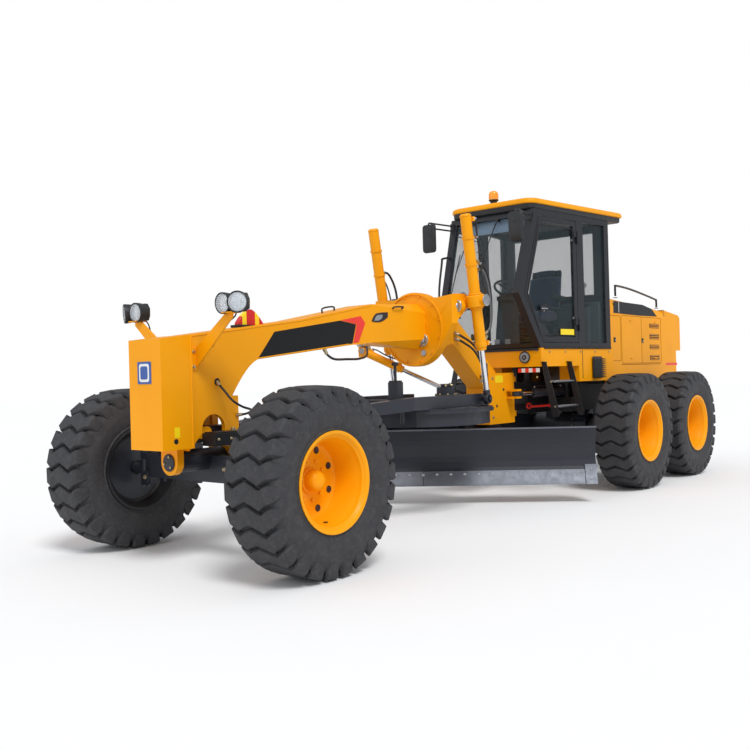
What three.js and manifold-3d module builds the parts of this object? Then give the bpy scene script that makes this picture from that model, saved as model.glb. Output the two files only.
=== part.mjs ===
// Motor grader, articulated, with a cab over the rear frame and a blade under the front frame.
// Millimetres. +X is forward, +Y is the machine's left, +Z is up.
// Until the last lines, x = 0 and z = 0 are the front wheels' centre, so the ground is at -wheel.radius.
import * as THREE from "three";
import { mergeVertices } from "three/addons/utils/BufferGeometryUtils.js";
import Module from "manifold-3d";

const wasm = await Module();
wasm.setup();

// ---------------------------------------------------------------- driving dimensions
const touch = 0.3; // gap between faces that rest on each other
const pinFit = 0.6; // radial clearance of a pin or rod in its bore
const pass = 6; // gap between pieces that move past each other
const pinSides = 20; // facets of the pins and bores over 30 mm in radius

const wheel = {
  radius: 672,
  width: 445,
  bead: 330, // bore of the tyre
  flange: 358,
  dish: 60, // the disc lies this far inside the wheel's middle plane
  disc: 20,
  segments: 28,
  halfTrack: 1095,
};
const tandem = { centre: -6219, gap: 194, inner: 620, outer: 850, half: 175 };
const axleBeam = { half: 80, top: 146, bottom: -60, end: 700 };
const swivel = { lean: 745, leanZ: -60, kingpin: 850, arm: 49, pin: 25, reach: 130 };
const axlePin = { z: 118, radius: 40, boss: 85, lug: 96, front: 350, back: -90, plate: 60 };

const nose = { front: 607, back: 320, half: 190, top: 1033, bottom: 225 };
const beam = { half: 150, plate: 38, end: -1814, top: 1388, bottom: 1030 };
const arch = { x: 102, z: 354, radius: 112 };
const hub = { x: -2640, z: 1177, radius: 185, bottom: 978, top: 1430 };
const neck = { half: 117, start: -2740, bend: -3170, under: 1036, over: 1378, slope: 0.79 };
const block = { front: -3800, back: -4330, half: 150, top: 714, bottom: 148 };
const pivot = { x: -4450, pin: 45, tongue: 90, lug: 100, low: 280, high: 600, plate: 62 };
const bend = { eyeX: -4200, eyeY: 250, rootX: -5300, rootY: 300, z: 475, barrel: 48, rod: 25, pin: 22 };

const saddle = { radius: 374, armY: 470, armBottom: 958, armTop: 1440 };
const lift = { x: -2905, y: 585, z: 1437, lean: 9.8, above: 862, below: 496, eye: 990 };
const liftBody = { barrel: 60, rod: 32, collar: 92, trunnion: 30, eye: 52, hole: 38, pin: 20 };
const swing = {
  root: [-2600, -640, 985],
  eye: [-2958, 150, 564],
  barrel: 42,
  rod: 22,
  length: 480,
  stroke: 130, // what the rod can still draw in
  drift: 22, // room beside the ball, which leaves its seat a little as the drawbar rises
  pin: 16,
  ball: 40,
};

const drawbar = { ballX: 120, ballZ: 328, ball: 65, pin: 22, neckHalf: 60, neckHeight: 90, neckEnd: -300 };
const deckbar = { bottom: 393, top: 513, spread: 470, ahead: 30, to: -3180, rail: 110 };
const circle = { x: -2712, turn: 34.3, outer: 750, inner: 610, bottom: 228, top: 378 };
const arms = { y: 430, thick: 60, pivotX: -745, pivotZ: -230 };
const blade = { length: 3660, edgeX: -452, edgeZ: -472, height: 605, bow: 120, thick: 22, rail: 1180 };

const rearFrame = { front: -4700, wide: -5400, back: -8110, bottom: 228, top: 568, rail: 420, deck: 20 };
const hood = { front: -5720, back: -7660, half: 630, wall: 12, bottom: 548, high: 1658, low: 1548 };
const shroud = { back: -8290, half: 605, foot: -8120, step: 968 };
const engine = { front: -6150, back: -7550, half: 380, height: 810 };

const cab = {
  rear: -5650,
  half: 740, // half-width at the rear wall
  front: 551, // half-width at the windscreen's top
  frontX: -4186,
  kneeX: -3872,
  kneeZ: 1581,
  footX: -4243,
  floor: 983,
  top: 2528,
  wall: 45,
};
const opening = { low: 1040, high: 2460, doorBack: -4975, sideFront: -5110, sideBack: -5555, pillar: 95 };
const door = { thick: 40, frame: 62 };
const hinge = { radius: 12, proud: 14, leaf: 66, length: 70, lows: [1180, 2200] };
const glass = { thick: 8, inset: 15 };
const roof = { front: -4130, back: -5960, thick: 135, over: 22 };
const beacon = { x: -4440, y: -122, high: 195, radius: 56 };
const floor = { bottom: 775, plate: 60, wall: 25, back: -5690, lockerFront: -4970, lockerBottom: 593 };
const ladder = { front: -4250, back: -4740, top: 828, bottom: 215, flare: 110, depth: 90, plate: 12 };
const lamp = { x: 261, y: 580, z: 1277, footZ: 875, half: 125, height: 150, depth: 120 };

// ---------------------------------------------------------------- materials
const paint = (color, roughness, metalness) =>
  new THREE.MeshStandardMaterial({ color, roughness, metalness });
const materials = {
  yellow: paint(0xf5a010, 0.42, 0.1),
  slate: paint(0x3b3f4a, 0.5, 0.3),
  dark: paint(0x2a2b30, 0.55, 0.2),
  pillar: paint(0x3a3840, 0.5, 0.1),
  chrome: paint(0xd0d3d8, 0.12, 1),
  tyre: paint(0x4a4a4c, 0.85, 0),
  glass: paint(0x9fb5ad, 0.05, 0),
  seat: paint(0x1d2740, 0.8, 0),
};

// ---------------------------------------------------------------- shapes
const rad = THREE.MathUtils.degToRad;

/** A closed geometry as a manifold-3d solid. */
function solid(geometry) {
  const bare = geometry.clone();
  bare.deleteAttribute("normal");
  bare.deleteAttribute("uv");
  const merged = mergeVertices(bare, 1e-3);
  return new wasm.Manifold(
    new wasm.Mesh({
      numProp: 3,
      vertProperties: merged.attributes.position.array,
      triVerts: new Uint32Array(merged.index.array),
    }),
  );
}

/** A manifold-3d solid as a geometry with flat faces. */
function geometryOf(body) {
  const mesh = body.getMesh();
  const geometry = new THREE.BufferGeometry();
  geometry.setAttribute("position", new THREE.BufferAttribute(mesh.vertProperties, 3));
  geometry.setIndex(new THREE.BufferAttribute(mesh.triVerts, 1));
  const flat = geometry.toNonIndexed();
  flat.computeVertexNormals();
  return flat;
}

const join = (...bodies) => bodies.flat().reduce((a, b) => a.add(b));
const cut = (body, ...tools) => tools.flat().reduce((a, b) => a.subtract(b), body);

/** Two distances to one side of the middle plane as a range, low one first. */
const sideRange = (side, a, b) => [side * a, side * b].sort((p, q) => p - q);

/** A box from its low and high limits on each axis. */
function box([x0, x1], [y0, y1], [z0, z1]) {
  const geometry = new THREE.BoxGeometry(Math.abs(x1 - x0), Math.abs(y1 - y0), Math.abs(z1 - z0));
  geometry.translate((x0 + x1) / 2, (y0 + y1) / 2, (z0 + z1) / 2);
  return solid(geometry);
}

const outline = (points) => new THREE.Shape(points.map(([u, v]) => new THREE.Vector2(u, v)));

/** Extrudes a shape: its u and v run along two axes, and its depth along the third, from low to high. */
function extrude(shape, low, high, plane, curveSegments = 10) {
  const geometry = new THREE.ExtrudeGeometry(shape, {
    depth: high - low,
    bevelEnabled: false,
    curveSegments,
  });
  geometry.translate(0, 0, low);
  const bases = {
    XY: [new THREE.Vector3(1, 0, 0), new THREE.Vector3(0, 1, 0), new THREE.Vector3(0, 0, 1)],
    YZ: [new THREE.Vector3(0, 1, 0), new THREE.Vector3(0, 0, 1), new THREE.Vector3(1, 0, 0)],
    XZ: [new THREE.Vector3(1, 0, 0), new THREE.Vector3(0, 0, 1), new THREE.Vector3(0, -1, 0)],
  };
  geometry.applyMatrix4(new THREE.Matrix4().makeBasis(...bases[plane]));
  return solid(geometry);
}
const plateXY = (shape, low, high, segments) => extrude(shape, low, high, "XY", segments);
const plateYZ = (shape, low, high, segments) => extrude(shape, low, high, "YZ", segments);
/** In the XZ plane the depth runs along -Y, so the limits are swapped to keep low and high as y values. */
const plateXZ = (shape, low, high, segments) => extrude(shape, -high, -low, "XZ", segments);

/** A round bar between two points. */
function bar(from, to, radius, sides = 16) {
  const a = new THREE.Vector3(...from);
  const b = new THREE.Vector3(...to);
  const along = b.clone().sub(a);
  const geometry = new THREE.CylinderGeometry(radius, radius, along.length(), sides);
  geometry.translate(0, along.length() / 2, 0);
  geometry.applyQuaternion(
    new THREE.Quaternion().setFromUnitVectors(new THREE.Vector3(0, 1, 0), along.normalize()),
  );
  geometry.translate(a.x, a.y, a.z);
  return solid(geometry);
}

/** Turns a profile of [radius, y] points around the Y axis, with a flat facet lowest. */
function turned(profile, segments) {
  const points = profile.map(([r, y]) => new THREE.Vector2(r, y));
  const first = profile[0];
  if (first[0] > 0) points.push(new THREE.Vector2(...first));
  const scale = 1 / Math.cos(Math.PI / segments);
  points.forEach((p) => (p.x *= scale));
  const geometry = new THREE.LatheGeometry(points, segments, Math.PI / segments);
  const body = solid(geometry);
  if (body.volume() > 0) return body;
  return solid(new THREE.LatheGeometry(points.reverse(), segments, Math.PI / segments));
}

/** A lofted bar: each section is [x, [[y, z], ...]] with the same number of points. */
function loft(sections) {
  const count = sections[0][1].length;
  const position = sections.flatMap(([x, ring]) => ring.flatMap(([y, z]) => [x, y, z]));
  const index = [];
  for (let s = 0; s + 1 < sections.length; s++) {
    for (let i = 0; i < count; i++) {
      const j = (i + 1) % count;
      const [a, b] = [s * count + i, s * count + j];
      index.push(a, a + count, b, b, a + count, b + count);
    }
  }
  const last = (sections.length - 1) * count;
  for (let i = 1; i + 1 < count; i++) {
    index.push(0, i, i + 1);
    index.push(last, last + i + 1, last + i);
  }
  const geometry = new THREE.BufferGeometry();
  geometry.setAttribute("position", new THREE.Float32BufferAttribute(position, 3));
  geometry.setIndex(index);
  return solid(geometry);
}

// ---------------------------------------------------------------- scene graph
const grader = new THREE.Group();
grader.userData.origin = new THREE.Vector3();

/** A group that turns or slides on its parent. Its meshes are still drawn in the machine's frame. */
function moving(parent, name, origin) {
  const group = new THREE.Group();
  group.name = name;
  group.userData.origin = new THREE.Vector3(...origin);
  group.position.copy(group.userData.origin).sub(parent.userData.origin);
  parent.add(group);
  return group;
}

function add(group, name, body, material) {
  const mesh = new THREE.Mesh(geometryOf(body), material);
  mesh.name = name;
  mesh.position.copy(group.userData.origin).negate();
  group.add(mesh);
  return mesh;
}

/** A group whose meshes are drawn in a frame of its own, turned on its parent. */
function ownFrame(parent, name, origin) {
  const group = moving(parent, name, origin);
  group.userData.origin = new THREE.Vector3();
  return group;
}

const sides = [
  ["left", 1],
  ["right", -1],
];

// ---------------------------------------------------------------- wheels
function tyre() {
  const half = wheel.width / 2;
  const { radius, bead } = wheel;
  return turned(
    [
      [bead, -half * 0.74],
      [bead, half * 0.74],
      [bead + 110, half],
      [radius - 95, half],
      [radius, half * 0.76],
      [radius, -half * 0.76],
      [radius - 95, -half],
      [bead + 110, -half],
    ],
    wheel.segments,
  );
}

/** The rim's dish opens to +Y. A steered wheel carries a hub cap. */
function rim(cap) {
  const lip = wheel.width / 2 - 18;
  const seat = wheel.bead - touch;
  const face = -wheel.dish;
  const back = face - wheel.disc;
  const hubRadius = 78;
  const middle = [
    [0, face + cap],
    [hubRadius, face + cap],
    [hubRadius + 8, face],
  ];
  return turned(
    [
      ...(cap ? middle : [[0, face]]),
      [wheel.bead - 55, face],
      [wheel.bead - 30, lip],
      [wheel.flange, lip],
      [wheel.flange, lip - 14],
      [seat, lip - 26],
      [seat, -lip + 26],
      [wheel.flange, -lip + 14],
      [wheel.flange, -lip],
      [wheel.bead - 34, -lip],
      [wheel.bead - 55, back],
      [0, back],
    ],
    wheel.segments,
  );
}

function addWheel(parent, name, x, side, cap) {
  const group = ownFrame(parent, name + "_spin", [x, side * wheel.halfTrack, 0]);
  if (side < 0) group.rotation.z = Math.PI;
  add(group, name + "_rim", rim(cap), materials.yellow);
  add(group, name + "_tyre", tyre(), materials.tyre);
}

/** The stub that a wheel runs on, from the inside to the back of its disc. */
function spindle(x, side, from, radius) {
  const end = wheel.halfTrack - wheel.dish - wheel.disc - touch;
  return bar([x, side * from, 0], [x, side * end, 0], radius);
}

// ---------------------------------------------------------------- front frame
function frontFrame() {
  const side = outline([
    [nose.back - 18, 1067],
    [-863, 1216],
    [beam.end, beam.top],
    [beam.end, beam.bottom],
    [-1481, 1003],
    [-371, 881],
  ]);
  side.quadraticCurveTo(-250, 840, -92, 600);
  side.lineTo(-97, 329);
  side.lineTo(arch.x - arch.radius, 329);
  side.lineTo(arch.x - arch.radius, arch.z);
  side.absarc(arch.x, arch.z, arch.radius, Math.PI, 0, true);
  side.lineTo(arch.x + arch.radius, 329);
  side.lineTo(nose.back + 18, 204);
  const plates = plateXZ(side, -beam.half, beam.half);
  const pocket = box([-98, nose.back - 2], [-beam.half + beam.plate, beam.half - beam.plate], [0, 480]);

  const front = plateXZ(
    outline([
      [nose.front, nose.bottom],
      [nose.front, nose.top],
      [nose.back, nose.top + 0.12 * (nose.front - nose.back)],
      [nose.back, nose.bottom],
    ]),
    -nose.half,
    nose.half,
  );

  return join(
    cut(plates, pocket),
    front,
    axlePinLugs(),
    drawbarHitch(),
    hubTube(),
    gooseneck(),
    articulationEnd(),
    bendEars(),
  );
}

/** Two lugs carry the pin that the front axle rocks on; the rear one is open above for the drawbar. */
function axlePinLugs() {
  const { z, lug, radius, plate } = axlePin;
  const frontShape = outline([
    [-lug, nose.bottom + 10],
    [lug, nose.bottom + 10],
  ]);
  frontShape.absarc(0, z, lug, 0, -Math.PI, true);
  const front = plateYZ(frontShape, axlePin.front, axlePin.front + plate, 12);
  const backShape = outline([
    [beam.half, 600],
    [beam.half - 55, 600],
    [beam.half - 55, 208],
    [-beam.half + 55, 208],
    [-beam.half + 55, 600],
    [-beam.half, 600],
    [-beam.half, z],
  ]);
  backShape.lineTo(-lug, z);
  backShape.absarc(0, z, lug, Math.PI, 2 * Math.PI, false);
  backShape.lineTo(beam.half, z);
  const back = plateYZ(backShape, axlePin.back - plate, axlePin.back, 12);
  const pin = bar([axlePin.back - plate, 0, z], [axlePin.front + plate, 0, z], radius, pinSides);
  return join(front, back, pin);
}

/** Two cheeks behind the nose hold the cross pin that the drawbar's ball hangs on. */
function drawbarHitch() {
  const { ballX, ballZ, ball, pin } = drawbar;
  const near = ball + pass;
  const cheeks = sides.map(([, side]) => {
    const y = sideRange(side, near, near + 22);
    const plate = box([ballX, nose.back + 5], y, [ballZ - 45, ballZ + 45]);
    return join(plate, bar([ballX, y[0], ballZ], [ballX, y[1], ballZ], 45));
  });
  return join(cheeks, bar([ballX, -near - 20, ballZ], [ballX, near + 20, ballZ], pin, pinSides));
}

/** The square beam becomes eight-sided, then round where the saddle turns on it. */
function hubTube() {
  const section = (half, bottom, top, corner) => [
    [half, bottom + corner],
    [half, top - corner],
    [half - corner, top],
    [-half + corner, top],
    [-half, top - corner],
    [-half, bottom + corner],
    [-half + corner, bottom],
    [half - corner, bottom],
  ];
  const tapered = loft([
    [beam.end + 1, section(beam.half, beam.bottom, beam.top, 4)],
    [hub.x + touch, section(beam.half + 12, hub.bottom, hub.top, 95)],
  ]);
  const tube = bar([hub.x + 10, 0, hub.z], [neck.start - 10, 0, hub.z], hub.radius, 24);
  return join(tapered, tube);
}

function gooseneck() {
  const drop = (x) => (neck.bend - x) * neck.slope;
  const shape = outline([
    [neck.start - touch, neck.over - 20],
    [neck.bend + 40, neck.over],
    [block.front - 190, neck.over - drop(block.front - 190)],
    [block.front - 190, block.top - 120],
    [block.front + 20, neck.under - drop(block.front + 20)],
    [neck.bend, neck.under],
    [neck.start - touch, hub.z - hub.radius - 20],
  ]);
  return plateXZ(shape, -neck.half, neck.half);
}

/** The block at the neck's foot has two tongues and the pin that the rear frame's lugs turn on. */
function articulationEnd() {
  const body = box([block.back, block.front], [-block.half, block.half], [block.bottom, block.top]);
  const tongueShape = outline([
    [block.back + 10, pivot.tongue],
    [pivot.x, pivot.tongue],
  ]);
  tongueShape.absarc(pivot.x, 0, pivot.tongue, Math.PI / 2, 1.5 * Math.PI, false);
  tongueShape.lineTo(block.back + 10, -pivot.tongue);
  const low = plateXY(tongueShape, pivot.low - pass - pivot.plate, pivot.low - pass);
  const high = plateXY(tongueShape, pivot.high + pass, pivot.high + pass + pivot.plate);
  const pin = bar(
    [pivot.x, 0, pivot.low - pass - pivot.plate],
    [pivot.x, 0, pivot.high + pass + pivot.plate],
    pivot.pin,
    24,
  );
  return join(body, low, high, pin);
}

/** Ears on both sides of the block hold the rods of the cylinders that bend the machine. */
function bendEars() {
  const parts = sides.map(([, side]) => {
    const ear = (low, high) =>
      box(
        [bend.eyeX - 45, bend.eyeX + 45],
        [side * (block.half - 10), side * (bend.eyeY + 45)],
        [low, high],
      );
    const upper = ear(bend.z + 30, bend.z + 52);
    const lower = ear(bend.z - 52, bend.z - 30);
    const pin = bar(
      [bend.eyeX, side * bend.eyeY, bend.z - 52],
      [bend.eyeX, side * bend.eyeY, bend.z + 52],
      18,
      12,
    );
    return join(upper, lower, pin);
  });
  return join(parts);
}

/** A disc on the hub with an arm to each side; the arms end in ears that hold the lift cylinders. */
function saddleBody() {
  const back = neck.start;
  const front = hub.x;
  const disc = bar([back, 0, hub.z], [front, 0, hub.z], saddle.radius, 40);
  const arm = (side) => {
    const shape = outline([
      [side * 100, saddle.armBottom],
      [side * 330, saddle.armBottom + 30],
      [side * (saddle.armY + 10), hub.z + 40],
      [side * (saddle.armY + 10), saddle.armTop + 60],
      [side * 300, saddle.armTop + 40],
      [side * 100, hub.z + 330],
    ]);
    const plate = plateYZ(shape, back, front);
    const ear = plateXZ(
      outline([
        [back + 5, lift.z + 75],
        [lift.x + 20, lift.z + 75],
        [lift.x - 62, lift.z + 30],
        [lift.x - 62, lift.z - 40],
        [lift.x + 10, lift.z - 75],
        [back + 5, lift.z - 190],
      ]),
      Math.min(side * (saddle.armY - 50), side * (saddle.armY + 10)),
      Math.max(side * (saddle.armY - 50), side * (saddle.armY + 10)),
    );
    return join(plate, ear);
  };
  const trunnionBore = bar(
    [lift.x, -saddle.armY - 40, lift.z],
    [lift.x, saddle.armY + 40, lift.z],
    liftBody.trunnion + pinFit,
    pinSides,
  );
  const hubBore = bar([back - 10, 0, hub.z], [front + 10, 0, hub.z], hub.radius + touch, 24);
  return join(cut(join(disc, arm(1), arm(-1)), trunnionBore, hubBore), swingRoot());
}

/** The level direction across the swing cylinder, which its root's pin follows. */
function swingAcross() {
  const heading = new THREE.Vector3(...swing.eye).sub(new THREE.Vector3(...swing.root)).setZ(0);
  return new THREE.Vector3(0, 0, 1).cross(heading.normalize());
}

/** A tab below the saddle's right arm, with the pin that the swing cylinder hangs on. */
function swingRoot() {
  const [x, y, z] = swing.root;
  const tab = plateYZ(
    outline([
      [-300, hub.z - 60],
      [-300, saddle.armBottom + 60],
      [y + 130, z + 70],
      [y - 5, z + 70],
      [y - 15, z - 60],
      [y - 110, z - 60],
      [y - 110, z + 50],
      [-saddle.armY, hub.z + 60],
    ]),
    neck.start + 20,
    hub.x - 20,
  );
  const at = (distance) => new THREE.Vector3(x, y, z).addScaledVector(swingAcross(), distance).toArray();
  const pin = bar(at(-26), at(110), swing.pin);
  const shoulder = bar(at(19 + touch), at(110), 32);
  return join(tab, pin, shoulder);
}

function lampBody(side) {
  const foot = side * (beam.half + touch);
  const out = side * lamp.y;
  const under = lamp.z - lamp.height / 2;
  const armShape = outline([
    [foot, lamp.footZ - 70],
    [out, under - 30],
    [out, under + 12],
    [out - side * 70, under + 12],
    [foot, lamp.footZ + 80],
  ]);
  const arm = plateYZ(armShape, lamp.x - 8, lamp.x + 8);
  const plate = box(
    [lamp.x - 8, lamp.x + 45],
    [foot, foot + side * 12],
    [lamp.footZ - 70, lamp.footZ + 90],
  );
  const shelf = box(
    [lamp.x - 45, lamp.x + 45],
    [side * (lamp.y - 75), side * (lamp.y + 40)],
    [under - 2, under + 10],
  );
  const r = lamp.height / 2;
  const capsule = new THREE.Shape();
  capsule.absarc(side * lamp.y + lamp.half - r, lamp.z, r, -Math.PI / 2, Math.PI / 2, false);
  capsule.absarc(side * lamp.y - lamp.half + r, lamp.z, r, Math.PI / 2, 1.5 * Math.PI, false);
  const housing = plateYZ(capsule, lamp.x - lamp.depth / 2, lamp.x + lamp.depth / 2, 8);
  return join(arm, plate, shelf, housing);
}

// ---------------------------------------------------------------- front axle
function frontAxle() {
  const { half, top, bottom, end } = axleBeam;
  const shape = outline([
    [-end, top - 40],
    [-260, top],
    [260, top],
    [end, top - 40],
    [end, bottom],
    [-end, bottom],
  ]);
  const girder = plateYZ(shape, -half, half);
  const boss = bar(
    [axlePin.back + 2, 0, axlePin.z],
    [axlePin.front - 2, 0, axlePin.z],
    axlePin.boss,
    20,
  );
  const inner = swivel.arm + pass;
  const forks = sides.flatMap(([, side]) => {
    const along = (x) => [x, side * swivel.lean, swivel.leanZ];
    return [-1, 1].map((face) => {
      return join(
        box(
          [face * inner, face * half],
          [side * (end - 10), side * swivel.lean],
          [swivel.leanZ - 50, swivel.leanZ + 50],
        ),
        bar(along(face * inner), along(face * half), 50),
        bar(along(0), along(face * half), swivel.pin),
      );
    });
  });
  const bore = bar(
    [axlePin.back - 50, 0, axlePin.z],
    [axlePin.front + 50, 0, axlePin.z],
    axlePin.radius + pinFit,
    pinSides,
  );
  return cut(join(girder, boss, forks), bore);
}

/** The bracket that leans, with the kingpin between its two jaws. */
function leanBracket(side) {
  const { lean, leanZ, kingpin, arm, pin, reach } = swivel;
  const back = kingpin - 50 - pass;
  const shape = outline([
    [side * (lean - 34), leanZ],
    [side * (lean - 20), leanZ - 32],
    [side * (lean + 20), -reach],
    [side * back, -reach],
    [side * back, reach],
    [side * (lean + 22), reach],
    [side * (lean - 12), leanZ + 60],
  ]);
  const plate = plateYZ(shape, -arm, arm);
  const jaws = [-reach, reach - 40].map((low) =>
    join(
      box([-arm, arm], [side * (back - 5), side * kingpin], [low, low + 40]),
      bar([0, side * kingpin, low], [0, side * kingpin, low + 40], arm),
    ),
  );
  const post = bar([0, side * kingpin, -reach], [0, side * kingpin, reach], pin, 16);
  const bore = bar(
    [-arm - 20, side * lean, leanZ],
    [arm + 20, side * lean, leanZ],
    swivel.pin + pinFit,
    16,
  );
  return cut(join(plate, jaws, post), bore);
}

function knuckle(side) {
  const { kingpin, pin, reach } = swivel;
  const height = reach - 40 - pass;
  const hubBody = bar([0, side * kingpin, -height], [0, side * kingpin, height], 50);
  const bore = bar([0, side * kingpin, -reach], [0, side * kingpin, reach], pin + pinFit, 16);
  return cut(join(hubBody, spindle(0, side, kingpin, 46)), bore);
}

// ---------------------------------------------------------------- drawbar, circle and blade
function drawbarBody() {
  const { ballX, ballZ, ball, pin, neckHalf, neckHeight, neckEnd } = drawbar;
  const ballBody = solid(new THREE.SphereGeometry(ball, 16, 10).translate(ballX, 0, ballZ));
  const z0 = ballZ - neckHeight / 2;
  const neckBar = box([neckEnd, ballX], [-neckHalf, neckHalf], [z0, z0 + neckHeight]);
  const ballBore = bar([ballX, -ball - 5, ballZ], [ballX, ball + 5, ballZ], pin + pinFit, pinSides);
  const { bottom, top, spread, ahead, to, rail } = deckbar;
  const from = circle.x + circle.outer + ahead;
  const ring = (y, zLow, zHigh, half) => [
    [y + half, zLow],
    [y + half, zHigh],
    [y - half, zHigh],
    [y - half, zLow],
  ];
  const legs = sides.map(([, side]) =>
    loft([
      [neckEnd + 150, ring(side * 20, z0 + 4, z0 + neckHeight - 4, 36)],
      [from, ring(side * spread, bottom, top, rail / 2)],
    ]),
  );
  const rails = sides.map(([, side]) =>
    box([to, from + 1], [side * (spread - rail / 2), side * (spread + rail / 2)], [bottom, top]),
  );
  const crossFront = box([from - 110, from], [-spread, spread], [bottom, top - 20]);
  const eyeX = liftEye().x;
  const crossBack = box([to, to + 150], [-lift.y + 62, lift.y - 62], [bottom, top - 40]);
  const pins = sides.map(([, side]) => liftPin(side, eyeX));
  const [sx, sy, sz] = swing.eye;
  const swingSeat = box([sx - 70, sx + 70], [sy - 60, spread], [bottom, bottom + 40]);
  const swingFace = sy + swing.ball + swing.drift;
  const swingPost = box([sx - 45, sx + 45], [swingFace, swingFace + 30], [bottom + 30, sz + 45]);
  const motor = bar([circle.x - 90, 270, bottom + 10], [circle.x - 90, 270, top + 75], 95);
  const motorSeat = box([circle.x - 190, circle.x + 10], [170, spread], [bottom, bottom + 40]);
  const guides = guideShoes();
  const whole = join(
    ballBody,
    neckBar,
    legs,
    rails,
    crossFront,
    crossBack,
    pins,
    swingSeat,
    swingPost,
    motor,
    motorSeat,
    guides,
  );
  return cut(whole, ballBore);
}

/** Where the lift rods' eyes are, from the trunnions and the cylinders' lean. */
function liftEye() {
  return {
    x: lift.x - lift.eye * Math.sin(rad(lift.lean)),
    z: lift.z - lift.eye * Math.cos(rad(lift.lean)),
  };
}

/** A pin on a lug at the drawbar's rear corner, for the lift rod's eye. */
function liftPin(side, x) {
  const { z } = liftEye();
  const inner = lift.y - 62;
  const lug = join(
    box([x - 45, x + 45], [side * (inner - 34), side * inner], [deckbar.bottom, z]),
    bar([x, side * (inner - 34), z], [x, side * inner, z], 45),
  );
  const pin = bar([x, side * (inner - 30), z], [x, side * (lift.y + 40), z], liftBody.pin, 12);
  return join(lug, pin);
}

/** Shoes under the drawbar that the circle's rim runs in. */
function guideShoes() {
  const { outer, bottom } = circle;
  return [25, 155, 205, 335].map((angle) => {
    const [c, s] = [Math.cos(rad(angle)), Math.sin(rad(angle))];
    const at = (r) => [circle.x + r * c, r * s];
    const out = at(outer + 32);
    const lip = bar([...out, bottom + 45], [...out, deckbar.bottom + 10], 24, 12);
    const reach = at(outer - 250);
    const beamOut = bar([...reach, deckbar.bottom + 30], [...out, deckbar.bottom + 30], 28, 12);
    return join(lip, beamOut);
  });
}

/** The ring that turns under the drawbar, with the two arms that carry the blade. */
function circleBody() {
  const { outer, inner, bottom, top } = circle;
  const height = deckbar.bottom - touch;
  const ring = (r0, r1, z0, z1) =>
    cut(
      bar([0, 0, z0], [0, 0, z1], r1, 36),
      bar([0, 0, z0 - 5], [0, 0, z1 + 5], r0, 36),
    );
  const band = ring(inner + 70, outer - 40, bottom, top);
  const flange = ring(inner, outer, top - 30, top);
  const crown = ring(inner + 90, inner + 130, top - 10, height);
  const armShape = outline([
    [-400, bottom + 30],
    [-640, bottom + 34],
    [arms.pivotX - 60, bottom - 28],
    [arms.pivotX - 66, arms.pivotZ],
    [arms.pivotX - 40, arms.pivotZ - 60],
    [arms.pivotX + 40, arms.pivotZ - 60],
    [arms.pivotX + 66, arms.pivotZ],
    [arms.pivotX + 20, 20],
    [-660, bottom - 38],
    [-400, bottom - 30],
  ]);
  const armPair = sides.map(([, side]) =>
    plateXZ(armShape, side * arms.y - arms.thick / 2, side * arms.y + arms.thick / 2),
  );
  const reach = arms.y - arms.thick / 2;
  const pins = sides.map(([, side]) =>
    bar(
      [arms.pivotX, side * (reach - 50), arms.pivotZ],
      [arms.pivotX, side * (arms.y + 20), arms.pivotZ],
      28,
      16,
    ),
  );
  const brace = box([-730, -680], [-reach - 10, reach + 10], [60, 160]);
  return join(band, flange, crown, armPair, pins, brace);
}

/** The carrier tips on the arms' pins, and its jaws hold the blade's two rails. */
function carrierBody() {
  const y = arms.y - arms.thick / 2 - pass;
  const railX = blade.edgeX - blade.bow - blade.thick - 42;
  const plate = box([railX - 60, railX - 36], [-y, y], [-350, -30]);
  const jaw = (z, up) => {
    const lip = [z + up * (24 + touch), z + up * (46 + touch)].sort((a, b) => a - b);
    return join(
      box([railX - 60, railX - 22 - touch], [-y, y], [z - 22, z + 22]),
      box([railX - 60, railX + 14], [-y, y], lip),
    );
  };
  const ears = sides.map(([, side]) =>
    join(
      box(
        [arms.pivotX - 30, railX - 40],
        [side * (y - 40), side * y],
        [arms.pivotZ - 50, arms.pivotZ + 50],
      ),
      bar([arms.pivotX, side * (y - 40), arms.pivotZ], [arms.pivotX, side * y, arms.pivotZ], 50),
    ),
  );
  const bores = bar(
    [arms.pivotX, -y - 60, arms.pivotZ],
    [arms.pivotX, y + 60, arms.pivotZ],
    28 + pinFit,
  );
  return cut(join(plate, jaw(-60, 1), jaw(-320, -1), ears), bores);
}

/** A bowed plate on two rails. Its hollow side faces forward. */
function bladeBody() {
  const { length, edgeX, edgeZ, height, bow, thick } = blade;
  const steps = 10;
  const curve = (offset) =>
    Array.from({ length: steps + 1 }, (_, i) => {
      const t = i / steps;
      return [edgeX - 4 * bow * t * (1 - t) - offset, edgeZ + height * t];
    });
  const plate = plateXZ(
    outline([...curve(0), ...curve(thick).reverse()]),
    -length / 2,
    length / 2,
  );
  const railX = edgeX - bow - thick - 42;
  const rails = [-60, -320].map((z) =>
    box([railX - 22, railX + 22], [-blade.rail, blade.rail], [z - 24, z + 24]),
  );
  const pads = [-60, -320].flatMap((z) =>
    [-blade.rail + 40, -560, 560, blade.rail - 40].map((y) =>
      box([railX, curveX(z) - thick / 2], [y - 40, y + 40], [z - 18, z + 18]),
    ),
  );
  return join(plate, rails, pads);
}

function curveX(z) {
  const t = (z - blade.edgeZ) / blade.height;
  return blade.edgeX - 4 * blade.bow * t * (1 - t);
}

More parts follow.
